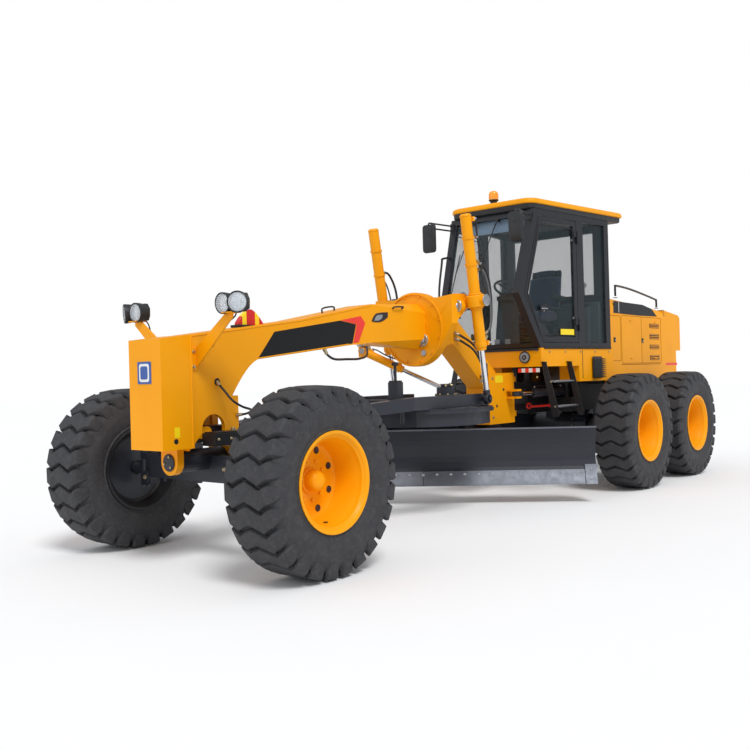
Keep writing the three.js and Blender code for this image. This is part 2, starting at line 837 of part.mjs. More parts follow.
// ---------------------------------------------------------------- cylinders
/** Each barrel and rod lies along -Z of a frame of its own, from the pivot at that frame's origin. */
function liftBarrel(side) {
  const { collar, trunnion, barrel, rod } = liftBody;
  const ring = bar([0, 0, -52], [0, 0, 52], collar, 16);
  const inner = saddle.armY - 30 - lift.y;
  const pin = bar([0, 0, 0], [0, side * inner, 0], trunnion, pinSides);
  const shoulder = bar([0, 0, 0], [0, side * (saddle.armY + 10 + pass - lift.y), 0], 52);
  const body = join(ring, pin, shoulder, bar([0, 0, -lift.below], [0, 0, lift.above], barrel, 16));
  const bore = bar([0, 0, -lift.below - 10], [0, 0, lift.above - 25], rod + pinFit, 16);
  return cut(body, bore);
}

function liftRod() {
  const { rod, eye, hole } = liftBody;
  const shaft = bar([0, 0, -lift.eye + eye - 8], [0, 0, lift.above - 320], rod, 16);
  const ring = cut(
    bar([0, -26, -lift.eye], [0, 26, -lift.eye], eye, 20),
    bar([0, -40, -lift.eye], [0, 40, -lift.eye], hole, 20),
  );
  return join(shaft, ring);
}

function addLiftCylinder(parent, name, side) {
  const group = ownFrame(parent, name + "_pivot", [lift.x, side * lift.y, lift.z]);
  group.rotation.y = rad(lift.lean);
  add(group, name + "_barrel", liftBarrel(side), materials.yellow);
  const rodGroup = ownFrame(group, name + "_slide", [0, 0, 0]);
  add(rodGroup, name + "_rod", liftRod(), materials.chrome);
}

/** The cylinder that pulls the drawbar to one side, from the saddle's right arm to the drawbar's left. */
function addSwingCylinder(parent) {
  const root = new THREE.Vector3(...swing.root);
  const eye = new THREE.Vector3(...swing.eye);
  const reach = eye.distanceTo(root);
  const group = ownFrame(parent, "swing_pivot", swing.root);
  const down = eye.clone().sub(root).normalize();
  const sidewards = swingAcross();
  const across = down.clone().cross(sidewards);
  group.quaternion.setFromRotationMatrix(
    new THREE.Matrix4().makeBasis(across, sidewards, down.clone().negate()),
  );
  const knob = bar([0, -19, 0], [0, 19, 0], 38);
  const pinBore = bar([0, -40, 0], [0, 40, 0], swing.pin + pinFit);
  const tube = bar([0, 0, -swing.length], [0, 0, 0], swing.barrel, 16);
  const sideSpace = [-1, 1].map((face) => box([-60, 60], [face * 19, face * 60], [-48, 60]));
  const bore = bar([0, 0, -swing.length - 10], [0, 0, -50], swing.rod + pinFit);
  add(group, "swing_barrel", cut(join(knob, tube), sideSpace, pinBore, bore), materials.yellow);
  const rodGroup = ownFrame(group, "swing_slide", [0, 0, 0]);
  const shaft = bar([0, 0, -reach + 30], [0, 0, -50 - swing.stroke], swing.rod);
  const end = solid(new THREE.SphereGeometry(swing.ball, 14, 8).translate(0, 0, -reach));
  add(rodGroup, "swing_rod", join(shaft, end), materials.chrome);
}

/** The pair that bends the machine at its middle: barrels on the rear frame, rods on the front one. */
function addBendCylinder(parent, name, side) {
  const group = ownFrame(parent, name + "_pivot", [bend.rootX, side * bend.rootY, bend.z]);
  const along = new THREE.Vector3(bend.eyeX - bend.rootX, side * (bend.eyeY - bend.rootY), 0);
  group.rotation.z = Math.atan2(along.y, along.x);
  const reach = along.length();
  const barrelEnd = reach - 340;
  const rootEye = bar([0, 0, -26], [0, 0, 26], 46, 16);
  const tube = bar([20, 0, 0], [barrelEnd, 0, 0], bend.barrel, 16);
  const bore = bar([110, 0, 0], [barrelEnd + 10, 0, 0], bend.rod + pinFit, 16);
  const pinBore = bar([0, 0, -60], [0, 0, 60], bend.pin + pinFit);
  const waist = box([-60, 46], [-60, 60], [-60, -26]);
  const waistTop = box([-60, 46], [-60, 60], [26, 60]);
  add(group, name + "_barrel", cut(join(rootEye, tube), bore, pinBore, waist, waistTop), materials.dark);
  const rodGroup = ownFrame(group, name + "_slide", [0, 0, 0]);
  const shaft = bar([260, 0, 0], [reach - 48, 0, 0], bend.rod, 16);
  const eye = cut(
    bar([reach, 0, -22], [reach, 0, 22], 62, 20),
    bar([reach, 0, -40], [reach, 0, 40], 46, 20),
  );
  add(rodGroup, name + "_rod", join(shaft, eye), materials.chrome);
}

// ---------------------------------------------------------------- rear frame and drive
function rearFrameBody() {
  const { front, wide, back, bottom, top, rail, deck } = rearFrame;
  const centre = box([wide, front], [-110, 110], [bottom, pivot.high]);
  const lugShape = outline([
    [front - 10, 110],
    [pivot.x, pivot.lug],
  ]);
  lugShape.absarc(pivot.x, 0, pivot.lug, Math.PI / 2, -Math.PI / 2, true);
  lugShape.lineTo(front - 10, -110);
  const lugs = [pivot.low, pivot.high - pivot.plate].map((low) =>
    plateXY(lugShape, low, low + pivot.plate, 12),
  );
  const bore = bar([pivot.x, 0, 0], [pivot.x, 0, 1000], pivot.pin + pinFit, 24);
  const spread = box([wide - 100, wide + 200], [-rail, rail], [bottom, 400]);
  const rails = sides.map(([, side]) => box([back, wide], [side * 260, side * rail], [bottom, top]));
  const crossings = [-6150, back + 100].map((x) => box([x - 100, x + 100], [-270, 270], [bottom, top - 60]));
  const within = hood.half - hood.wall - touch;
  const plate = box([back, hood.front], [-within, within], [top - deck, top]);
  const posts = sides.flatMap(([, side]) => [
    box([wide - 130, wide - 30], [side * 320, side * 400], [top - 10, floorUnder()]),
    box([front - 130, front - 40], [side * 50, side * 108], [pivot.high - 10, floorUnder()]),
  ]);
  const roots = sides.map(([, side]) => {
    const up = (z) => [bend.rootX, side * bend.rootY, z];
    return join(bar(up(390), up(bend.z - 26 - touch), 40, 12), bar(up(390), up(bend.z + 45), bend.pin));
  });
  return cut(join(centre, lugs, spread, rails, crossings, plate, posts, roots), bore);
}

const floorUnder = () => cab.floor - floor.plate - touch;

function rearAxle() {
  const x = tandem.centre;
  const tube = bar([x, -tandem.inner + touch, 0], [x, tandem.inner - touch, 0], 150, 24);
  const bowl = bar([x, -190, 0], [x, 190, 0], 210, 24);
  const pads = sides.map(([, side]) =>
    box([x - 120, x + 120], [side * 265, side * 415], [90, rearFrame.bottom - touch]),
  );
  return join(tube, bowl, pads);
}

function tandemBox(side) {
  const half = tandem.half;
  const reach = wheel.radius + tandem.gap / 2;
  const shape = new THREE.Shape();
  shape.absarc(tandem.centre + reach, 0, half, -Math.PI / 2, Math.PI / 2, false);
  shape.absarc(tandem.centre - reach, 0, half, Math.PI / 2, 1.5 * Math.PI, false);
  const y = [side * tandem.inner, side * tandem.outer].sort((a, b) => a - b);
  const body = plateXZ(shape, ...y, 14);
  const stubs = [reach, -reach].map((offset) => spindle(tandem.centre + offset, side, tandem.outer - 10, 60));
  return join(body, stubs);
}

function engineBlock() {
  const base = rearFrame.top + touch;
  return box([engine.back, engine.front], [-engine.half, engine.half], [base, base + engine.height]);
}

/** The hood's section has rounded shoulders, and it drops a little towards the back. */
function hoodShell() {
  const section = (inset, x) => {
    const t = (hood.front - x) / (hood.front - hood.back);
    const top = THREE.MathUtils.lerp(hood.high, hood.low, t) - inset;
    const half = hood.half - inset;
    const shoulder = 130;
    const low = hood.bottom - (inset ? 20 : 0);
    return [
      [half, low],
      [half, top - shoulder],
      [half - 45, top - 40],
      [half - 150, top],
      [-half + 150, top],
      [-half + 45, top - 40],
      [-half, top - shoulder],
      [-half, low],
    ];
  };
  const at = (x, inset) => [x, section(inset, x)];
  const outer = loft([at(hood.front, 0), at(hood.back, 0)]);
  const inner = loft([at(hood.front + 20, hood.wall), at(hood.back + hood.wall, hood.wall)]);
  const deckSlot = box(
    [hood.back - 5, hood.back + hood.wall + 5],
    [-hood.half + hood.wall, hood.half - hood.wall],
    [hood.bottom - 10, rearFrame.top + touch],
  );
  return cut(outer, inner, deckSlot);
}

function shroudBody() {
  const front = hood.back - touch;
  const base = rearFrame.top + touch;
  return plateXZ(
    outline([
      [front, base],
      [front, hood.low - 12],
      [shroud.back + 60, hood.low - 70],
      [shroud.back, hood.low - 110],
      [shroud.back, shroud.step],
      [shroud.foot, shroud.step],
      [shroud.foot, base],
    ]),
    -shroud.half,
    shroud.half,
  );
}

// ---------------------------------------------------------------- cab
/** The cab is narrower in front: widths are drawn as at the rear wall, then drawn in towards the front. */
function narrowed(body) {
  const rate = (cab.half - cab.front) / (cab.frontX - cab.rear) / cab.half;
  return body.warp((v) => {
    v[1] *= 1 - rate * (v[0] - cab.rear);
  });
}
const widthAt = (x) => cab.half - ((cab.half - cab.front) * (x - cab.rear)) / (cab.frontX - cab.rear);

/** The windscreen's surface at a height, moved back by an inset. */
function screenX(z, inset) {
  const lower = z < cab.kneeZ;
  const t = lower ? (z - cab.floor) / (cab.kneeZ - cab.floor) : (z - cab.kneeZ) / (cab.top - cab.kneeZ);
  const x = lower
    ? THREE.MathUtils.lerp(cab.footX, cab.kneeX, t)
    : THREE.MathUtils.lerp(cab.kneeX, cab.frontX, t);
  return x - inset;
}

/** A side outline of the cab between two heights, its front edge following the windscreen. */
const cabOutline = (inset, low, high, back) =>
  outline([
    [screenX(low, inset), low],
    [screenX(cab.kneeZ, inset), cab.kneeZ],
    [screenX(high, inset), high],
    [back, high],
    [back, low],
  ]);

function cabFrame() {
  const base = cab.floor + touch;
  const outer = plateXZ(cabOutline(0, base, cab.top, cab.rear), -cab.half, cab.half);
  const y = cab.half - cab.wall;
  const inner = plateXZ(
    outline([
      [screenX(base, 62) - 12, base - 20],
      [screenX(cab.kneeZ, 62), cab.kneeZ],
      [screenX(cab.top, 62) - 6, cab.top + 20],
      [cab.rear + cab.wall, cab.top + 20],
      [cab.rear + cab.wall, base - 20],
    ]),
    -y,
    y,
  );
  const screen = box([-4450, -3700], [-screenHalf, screenHalf], [opening.low, opening.high]);
  const doors = plateXZ(doorOutline(0), -900, 900);
  const sideLights = box([opening.sideBack, opening.sideFront], [-900, 900], [opening.low, opening.high]);
  const rearLight = box([cab.rear - 20, cab.rear + 80], [-rearGlass.half, rearGlass.half], rearGlass.z);
  const shell = narrowed(cut(outer, inner, screen, doors, sideLights, rearLight));
  return join(shell, hingeHalves(1, -1), hingeHalves(-1, -1));
}
const screenHalf = cab.half - 118;
const rearGlass = { half: 560, z: [1640, 2400] };

/** The door's opening, or with an inset the door itself or its window. */
const doorOutline = (inset) => {
  const low = opening.low + inset;
  const high = opening.high - inset;
  const front = opening.pillar + inset * 1.08;
  return outline([
    [screenX(low, front), low],
    [screenX(cab.kneeZ, front), cab.kneeZ],
    [screenX(high, front), high],
    [opening.doorBack + inset, high],
    [opening.doorBack + inset, low],
  ]);
};

/** Where a door's hinge pin stands, just outside the wall behind the door. */
const hingeAt = (side) => [
  opening.doorBack + pass / 2,
  side * (widthAt(opening.doorBack) + hinge.proud),
];

/** Half of each hinge: a knuckle on the pin's line and a leaf that runs forward or back from it. */
function hingeHalves(side, forward) {
  const [x, y] = hingeAt(side);
  const leafY = sideRange(side, cab.half - 5, cab.half + hinge.proud + 2);
  return hinge.lows.map((z) => {
    const low = forward > 0 ? z + hinge.length + touch : z;
    const high = low + hinge.length;
    const leaf = box([x + forward * 4, x + forward * hinge.leaf], leafY, [low, high]);
    return join(narrowed(leaf), bar([x, y, low], [x, y, high], hinge.radius));
  });
}

function doorBody(side) {
  const panel = plateXZ(doorOutline(pass), ...sideRange(side, cab.half - door.thick, cab.half));
  const window = plateXZ(doorOutline(pass + door.frame), ...sideRange(side, cab.half - 100, cab.half + 50));
  return join(narrowed(cut(panel, window)), hingeHalves(side, 1));
}

function doorGlass(side) {
  const mid = cab.half - door.thick / 2;
  const y = sideRange(side, mid - glass.thick / 2, mid + glass.thick / 2);
  return narrowed(plateXZ(doorOutline(pass + door.frame + touch), ...y));
}

function sideGlass(side) {
  const mid = cab.half - cab.wall / 2;
  return narrowed(
    box(
      [opening.sideBack + touch, opening.sideFront - touch],
      sideRange(side, mid - glass.thick / 2, mid + glass.thick / 2),
      [opening.low + touch, opening.high - touch],
    ),
  );
}

function windscreen() {
  const low = opening.low + touch;
  const high = opening.high - touch;
  const face = (inset) => [low, cab.kneeZ, high].map((z) => [screenX(z, inset), z]);
  const shape = outline([...face(glass.inset), ...face(glass.inset + glass.thick).reverse()]);
  return narrowed(plateXZ(shape, -screenHalf + touch, screenHalf - touch));
}

function rearPane() {
  const x = cab.rear + cab.wall / 2;
  const [low, high] = rearGlass.z;
  const half = rearGlass.half - touch;
  return narrowed(
    box([x - glass.thick / 2, x + glass.thick / 2], [-half, half], [low + touch, high - touch]),
  );
}

function roofBody() {
  const base = cab.top + touch;
  const y = cab.half + roof.over;
  const corner = 110;
  const plan = outline([
    [roof.front, y - 2 * corner],
    [roof.front - corner, y],
    [roof.back, y],
    [roof.back, -y],
    [roof.front - corner, -y],
    [roof.front, -y + 2 * corner],
  ]);
  const slab = narrowed(plateXY(plan, base, base + roof.thick));
  const top = base + roof.thick;
  const lamp = bar([beacon.x, beacon.y, top - 5], [beacon.x, beacon.y, top + beacon.high], beacon.radius, 16);
  return join(slab, lamp);
}

/** The platform under the cab: a tray open below, with a locker hanging at each side behind the ladder. */
function cabFloor() {
  const back = floor.back;
  const top = cab.floor;
  const deck = box([back, cab.footX], [-cab.half, cab.half], [floor.bottom, top]);
  const y = cab.half - floor.wall;
  const under = box([back - 10, cab.footX - floor.wall], [-y, y], [floor.bottom - 10, top - floor.plate]);
  const lockers = sides.map(([, side]) =>
    box([back, floor.lockerFront], sideRange(side, 450, cab.half), [floor.lockerBottom, top - 10]),
  );
  return narrowed(join(cut(deck, under), lockers));
}

function seatBody() {
  const x = -5130;
  const base = cab.floor + touch;
  const pedestal = box([x - 150, x + 160], [-170, 170], [base, base + 330]);
  const cushion = box([x - 240, x + 260], [-250, 250], [base + 320, base + 470]);
  const back = plateXZ(
    outline([
      [x - 110, base + 460],
      [x - 240, base + 1010],
      [x - 340, base + 1000],
      [x - 250, base + 400],
      [x - 120, base + 400],
    ]),
    -240,
    240,
  );
  const rests = sides.map(([, side]) =>
    box([x - 230, x + 130], sideRange(side, 252, 310), [base + 600, base + 670]),
  );
  const links = sides.map(([, side]) =>
    box([x - 250, x - 180], sideRange(side, 200, 280), [base + 560, base + 640]),
  );
  return join(pedestal, cushion, back, rests, links);
}

function consoleBody() {
  const base = cab.floor + touch;
  const x = -4480;
  const column = plateXZ(
    outline([
      [x + 110, base],
      [x + 20, base + 640],
      [x - 60, base + 660],
      [x - 90, base],
    ]),
    -110,
    110,
  );
  const wheelRing = cut(
    bar([0, 0, -16], [0, 0, 16], 200, 24),
    bar([0, 0, -30], [0, 0, 30], 165, 24),
  );
  const spokes = join(
    box([-172, 172], [-22, 22], [-10, 10]),
    bar([0, 0, -60], [0, 0, 12], 45, 12),
  );
  const steering = join(wheelRing, spokes).rotate([0, -28, 0]).translate([x - 70, 0, base + 715]);
  return join(column, steering);
}

/** A mirror on a bracket from the top of the windscreen pillar. */
function mirrorBody(side) {
  const z = 2277;
  const x = -3739;
  const housing = box([x - 30, x + 30], sideRange(side, 490, 650), [z - 145, z + 145]);
  const y = side * (widthAt(screenX(z + 170, 0)) - 25);
  const rootX = screenX(z + 178, 0) + 26;
  const stay = join(
    bar([x, side * 570, z + 100], [x, side * 570, z + 190], 13, 10),
    bar([x, side * 570, z + 178], [rootX, y, z + 178], 13, 10),
  );
  const foot = plateXZ(
    outline([
      [screenX(z + 230, -touch), z + 230],
      [screenX(z + 230, -32), z + 230],
      [screenX(z + 130, -32), z + 130],
      [screenX(z + 130, -touch), z + 130],
    ]),
    ...[y - 22, y + 22],
  );
  return join(housing, stay, foot);
}

/** A hanging ladder: two plates that flare outwards, with a rung half-way and a tread at the foot. */
function ladderBody(side) {
  const { front, back, top, bottom, flare, depth, plate } = ladder;
  const stile = (x) => {
    const y = widthAt(x - plate / 2) + touch;
    const shape = outline([
      [side * y, top],
      [side * (y + depth * 0.55), top],
      [side * (y + flare + depth), bottom],
      [side * (y + flare), bottom],
      [side * y, floor.bottom - 20],
    ]);
    return plateYZ(shape, x - plate / 2, x + plate / 2);
  };
  const mid = (widthAt(front) + widthAt(back)) / 2;
  const rung = (t) => {
    const z = THREE.MathUtils.lerp(top, bottom, t);
    const y = mid + flare * t * 0.86 + depth * 0.45;
    return box([back, front], sideRange(side, y - 36, y + 36), [z, z + 24]);
  };
  return join(stile(front), stile(back), rung(0.38), rung(0.83));
}

// ---------------------------------------------------------------- assembly
const { yellow, slate, dark, pillar } = materials;

add(grader, "rear_frame", rearFrameBody(), dark);
add(grader, "rear_axle", rearAxle(), slate);
add(grader, "engine_block", engineBlock(), dark);
add(grader, "hood", hoodShell(), yellow);
add(grader, "radiator_shroud", shroudBody(), yellow);
add(grader, "cab_floor", cabFloor(), yellow);
add(grader, "cab_frame", cabFrame(), pillar);
add(grader, "cab_roof", roofBody(), yellow);
add(grader, "windscreen", windscreen(), materials.glass);
add(grader, "rear_glass", rearPane(), materials.glass);
add(grader, "seat", seatBody(), materials.seat);
add(grader, "console", consoleBody(), dark);

for (const [name, side] of sides) {
  add(grader, "side_glass_" + name, sideGlass(side), materials.glass);
  add(grader, "mirror_" + name, mirrorBody(side), dark);
  add(grader, "ladder_" + name, ladderBody(side), dark);
  const doorGroup = moving(grader, "door_" + name + "_hinge", [...hingeAt(side), opening.low]);
  add(doorGroup, "door_" + name, doorBody(side), pillar);
  add(doorGroup, "door_glass_" + name, doorGlass(side), materials.glass);
  const bogie = moving(grader, "tandem_" + name + "_pivot", [tandem.centre, side * tandem.inner, 0]);
  add(bogie, "tandem_" + name, tandemBox(side), slate);
  const reach = wheel.radius + tandem.gap / 2;
  addWheel(bogie, "mid_" + name, tandem.centre + reach, side, 0);
  addWheel(bogie, "rear_" + name, tandem.centre - reach, side, 0);
  addBendCylinder(grader, "bend_" + name, side);
}

const front = moving(grader, "articulation", [pivot.x, 0, 0]);
add(front, "front_frame", frontFrame(), yellow);
add(front, "saddle", saddleBody(), yellow);

const axle = moving(front, "front_axle_pivot", [0, 0, axlePin.z]);
add(axle, "front_axle", frontAxle(), slate);

for (const [name, side] of sides) {
  add(front, "lamp_" + name, lampBody(side), yellow);
  addLiftCylinder(front, "lift_" + name, side);
  const leaning = moving(axle, "lean_" + name + "_pivot", [0, side * swivel.lean, swivel.leanZ]);
  add(leaning, "lean_bracket_" + name, leanBracket(side), slate);
  const steering = moving(leaning, "steer_" + name + "_pivot", [0, side * swivel.kingpin, 0]);
  add(steering, "knuckle_" + name, knuckle(side), slate);
  addWheel(steering, "front_" + name, 0, side, 55);
}
addSwingCylinder(front);

const pulled = moving(front, "drawbar_ball", [drawbar.ballX, 0, drawbar.ballZ]);
add(pulled, "drawbar", drawbarBody(), slate);
const turning = ownFrame(pulled, "circle_turn", [circle.x, 0, 0]);
turning.rotation.z = rad(circle.turn);
add(turning, "circle", circleBody(), slate);
const tipping = moving(turning, "blade_tip", [arms.pivotX, 0, arms.pivotZ]);
add(tipping, "blade_carrier", carrierBody(), slate);
const sliding = moving(tipping, "blade_shift", [arms.pivotX, 0, arms.pivotZ]);
add(sliding, "blade", bladeBody(), slate);

// The part's frame: the ground below the middle of the machine's box.
grader.updateMatrixWorld(true);
const bounds = new THREE.Box3().setFromObject(grader, true);
const middle = bounds.getCenter(new THREE.Vector3());
const part = new THREE.Group();
grader.position.set(-middle.x, -middle.y, -bounds.min.z);
part.add(grader);

export default part;
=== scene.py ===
"""Motor grader: the finish of every surface and the detail that the solid model leaves plain.

Lengths are in metres. Machine coordinates have x forward from the front wheels' axle, y to the machine's left
of its middle plane, and z up from the ground. `ORIGIN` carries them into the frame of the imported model.
"""

import math

import bmesh
import bpy
from mathutils import Matrix, Vector


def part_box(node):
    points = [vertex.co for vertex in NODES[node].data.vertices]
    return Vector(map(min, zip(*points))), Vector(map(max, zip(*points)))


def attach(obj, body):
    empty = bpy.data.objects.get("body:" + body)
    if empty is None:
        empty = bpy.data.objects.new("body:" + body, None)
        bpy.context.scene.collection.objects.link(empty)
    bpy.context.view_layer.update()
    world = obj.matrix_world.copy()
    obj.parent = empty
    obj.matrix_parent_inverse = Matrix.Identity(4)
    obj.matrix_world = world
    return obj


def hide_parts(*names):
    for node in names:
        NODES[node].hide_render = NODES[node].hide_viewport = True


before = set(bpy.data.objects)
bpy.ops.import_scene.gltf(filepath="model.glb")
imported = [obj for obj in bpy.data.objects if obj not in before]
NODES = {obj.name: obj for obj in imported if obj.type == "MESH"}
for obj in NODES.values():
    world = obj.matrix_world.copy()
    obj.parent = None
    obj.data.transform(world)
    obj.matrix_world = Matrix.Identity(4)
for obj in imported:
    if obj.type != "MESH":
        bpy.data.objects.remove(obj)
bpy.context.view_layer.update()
SIDES = (("left", 1), ("right", -1))


def middle(node):
    """The centre of a node's box."""
    low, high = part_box(node)
    return (Vector(low) + Vector(high)) / 2


ORIGIN = (middle("front_left_tyre") + middle("front_right_tyre")) / 2
WHEEL_R = ORIGIN.z
ORIGIN.z = 0
UP, DOWN = Vector((0, 0, 1)), Vector((0, 0, -1))
LEFT, RIGHT = Vector((0, 1, 0)), Vector((0, -1, 0))
AHEAD, BACK = Vector((1, 0, 0)), Vector((-1, 0, 0))


def span(side, near, far):
    """Two distances out from the middle plane on one side, the lower first."""
    return sorted((side * near, side * far))


def faced(outline, side):
    """An outline drawn for the left, turned to face one side."""
    return [(side * u, v) for u, v in outline]


def put(name, data):
    """Links a new object that holds data into the scene."""
    made = bpy.data.objects.new(name, data)
    bpy.context.scene.collection.objects.link(made)
    return made


def place(node, fx=0.5, fy=0.5, fz=0.5):
    """A point of a node's box in machine coordinates, as fractions of the box from its low corner."""
    low, high = (Vector(c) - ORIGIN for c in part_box(node))
    return Vector((low.x + fx * (high.x - low.x), low.y + fy * (high.y - low.y),
        low.z + fz * (high.z - low.z)))


# ---------------------------------------------------------------- camera, light and floor
def look_matrix(yaw, roll):
    """A level camera's axes: the heading turned by yaw, then rolled."""
    ahead = Vector((math.cos(yaw), math.sin(yaw), 0))
    right = ahead.cross(UP)
    up = UP.copy()
    side = math.cos(roll) * right + math.sin(roll) * up
    top = math.cos(roll) * up - math.sin(roll) * right
    return Matrix((side, top, -ahead)).transposed()


camera_data = bpy.data.cameras.new("camera")
camera_data.lens = 42.45
camera_data.sensor_width = 36
camera_data.clip_end = 200
camera = put("camera", camera_data)
CAMERA_AT = Vector((4.4957, 5.3846, 1.4022))
CAMERA_HEADING, CAMERA_ROLL = 3.8324, -0.0269
turned = look_matrix(CAMERA_HEADING, CAMERA_ROLL).to_4x4()
camera.matrix_world = Matrix.Translation(ORIGIN + CAMERA_AT) @ turned
bpy.context.scene.camera = camera
bpy.context.scene.view_settings.view_transform = "Standard"


def lamp(name, strength, direction, softness):
    """A sun that shines along a direction."""
    data = bpy.data.lights.new(name, "SUN")
    data.energy = strength
    data.angle = softness
    sun = put(name, data)
    sun.rotation_euler = Vector(direction).to_track_quat("-Z", "Y").to_euler()


KEY, FILL, SKY = 1.9, 0.35, 0.62
lamp("key", KEY, (-0.35, -0.62, -0.9), 0.35)
lamp("fill", FILL, (-0.8, 0.5, -0.35), 0.9)

world = bpy.data.worlds.new("studio")
world.use_nodes = True
bpy.context.scene.world = world
tree = world.node_tree
tree.nodes.clear()
w_out = tree.nodes.new("ShaderNodeOutputWorld")
w_mix = tree.nodes.new("ShaderNodeMixShader")
w_path = tree.nodes.new("ShaderNodeLightPath")
w_light = tree.nodes.new("ShaderNodeBackground")
w_seen = tree.nodes.new("ShaderNodeBackground")
w_light.inputs["Color"].default_value = (0.93, 0.96, 1, 1)
w_light.inputs["Strength"].default_value = SKY
w_seen.inputs["Color"].default_value = (1, 1, 1, 1)
tree.links.new(w_path.outputs["Is Camera Ray"], w_mix.inputs["Fac"])
tree.links.new(w_light.outputs[0], w_mix.inputs[1])
tree.links.new(w_seen.outputs[0], w_mix.inputs[2])
tree.links.new(w_mix.outputs[0], w_out.inputs["Surface"])


# ---------------------------------------------------------------- materials
def linear(r, g, b):
    """A colour written in 0 to 255 as shader values."""
    return tuple(((c / 255 + 0.055) / 1.055) ** 2.4 if c > 10 else c / 255 / 12.92
        for c in (r, g, b)) + (1,)


class Shade:
    """A material built up from the main shader outwards."""

    def __init__(self, name, colour, rough, metal=0.0, coat=0.0, sheen=0.0):
        self.material = bpy.data.materials.new(name)
        self.material.use_nodes = True
        self.tree = self.material.node_tree
        self.shader = self.tree.nodes["Principled BSDF"]
        self.socket("Base Color").default_value = colour
        self.socket("Roughness").default_value = rough
        self.socket("Metallic").default_value = metal
        self.socket("Coat Weight").default_value = coat
        self.socket("Coat Roughness").default_value = 0.12
        self.socket("Sheen Weight").default_value = sheen
        self.height = None

    def socket(self, name):
        return self.shader.inputs[name]

    def node(self, kind, settings=(), **values):
        """A new shader node with its settings and the values of its inputs."""
        made = self.tree.nodes.new(kind)
        for key, value in dict(settings).items():
            setattr(made, key, value)
        for key, value in values.items():
            made.inputs[key.replace("_", " ")].default_value = value
        return made

    def link(self, a, b):
        self.tree.links.new(a, b)

    def noise(self, scale, detail=4, rough=0.55, stretch=(1, 1, 1)):
        place_at = self.node("ShaderNodeTexCoord")
        turn = self.node("ShaderNodeMapping", Scale=stretch)
        texture = self.node("ShaderNodeTexNoise", Scale=scale, Detail=detail, Roughness=rough)
        self.link(place_at.outputs["Object"], turn.inputs["Vector"])
        self.link(turn.outputs["Vector"], texture.inputs["Vector"])
        return texture.outputs["Fac"]

    def ramp(self, value, low, high, a=0.0, b=1.0):
        """Stretches low to high over a to b."""
        scale = self.node("ShaderNodeMapRange", From_Min=low, From_Max=high, To_Min=a, To_Max=b)
        self.link(value, scale.inputs["Value"])
        return scale.outputs["Result"]

    def tint(self, amount, other):
        """Mixes another colour over what the base colour is so far."""
        mix = self.node("ShaderNodeMix", {"data_type": "RGBA"})
        base = self.socket("Base Color")
        if base.is_linked:
            self.link(base.links[0].from_socket, mix.inputs["A"])
        else:
            mix.inputs[6].default_value = base.default_value
        mix.inputs[7].default_value = other
        self.link(amount, mix.inputs[0])
        self.link(mix.outputs[2], base)

    def roughen(self, value, low, high, a, b):
        self.link(self.ramp(value, low, high, a, b), self.socket("Roughness"))

    def bump(self, value, strength, distance):
        made = self.node("ShaderNodeBump", Strength=strength, Distance=distance)
        self.link(value, made.inputs["Height"])
        if self.height:
            self.link(self.height, made.inputs["Normal"])
        self.height = made.outputs["Normal"]
        self.link(self.height, self.socket("Normal"))


def painted(name, colour, rough=0.36, dust=0.22, coat=0.1, shine=0.4):
    """Sprayed paint: fine orange peel, slow colour drift, and dust that gathers on upward faces."""
    made = Shade(name, colour, rough, coat=coat)
    made.socket("Specular IOR Level").default_value = shine
    drift = made.noise(1.3, 3)
    darker = tuple(c * 0.86 for c in colour[:3]) + (1,)
    made.tint(made.ramp(drift, 0.42, 0.72, 0, 0.5), darker)
    geometry = made.node("ShaderNodeNewGeometry")
    split = made.node("ShaderNodeSeparateXYZ")
    made.link(geometry.outputs["Normal"], split.inputs["Vector"])
    upward = made.ramp(split.outputs["Z"], 0.35, 1.0)
    grains = made.noise(7, 6, 0.7)
    together = made.node("ShaderNodeMath", {"operation": "MULTIPLY"})
    made.link(upward, together.inputs[0])
    made.link(made.ramp(grains, 0.38, 0.75, 0, dust), together.inputs[1])
    pale = tuple(0.72 * c + 0.22 * g for c, g in zip(colour[:3], (0.75, 0.68, 0.55))) + (1,)
    made.tint(together.outputs[0], pale)
    scuffs = made.noise(22, 8, 0.65, (1, 1, 3))
    made.roughen(scuffs, 0.3, 0.75, rough - 0.06, rough + 0.14)
    made.bump(made.noise(160, 2), 0.09, 0.002)
    made.bump(made.noise(5, 2), 0.05, 0.01)
    return made.material


def rubbery(name, colour, rough=0.72, bumps=0.35):
    """Moulded rubber, scuffed pale in patches, with dust in its grain."""
    made = Shade(name, colour, rough)
    pale = tuple(c * 1.55 + 0.012 for c in colour[:3]) + (1,)
    made.tint(made.ramp(made.noise(4.5, 7, 0.68), 0.45, 0.8, 0, 0.55), pale)
    made.tint(made.ramp(made.noise(34, 4), 0.5, 0.85, 0, 0.35), linear(92, 90, 86))
    made.roughen(made.noise(16, 5), 0.3, 0.7, rough - 0.1, rough + 0.12)
    made.bump(made.noise(240, 3), bumps, 0.0015)
    made.bump(made.noise(26, 5), 0.25, 0.003)
    return made.material


def steel(name, colour, rough, metal=1.0, grain=(1, 1, 1), scale=60):
    """Bare or plated metal, with marks that dull it."""
    made = Shade(name, colour, rough, metal=metal)
    marks = made.noise(scale, 6, 0.6, grain)
    made.roughen(marks, 0.25, 0.75, max(0.03, rough - 0.06), rough + 0.14)
    darker = tuple(c * 0.72 for c in colour[:3]) + (1,)
    made.tint(made.ramp(marks, 0.45, 0.8, 0, 0.5), darker)
    made.bump(marks, 0.06, 0.001)
    return made.material


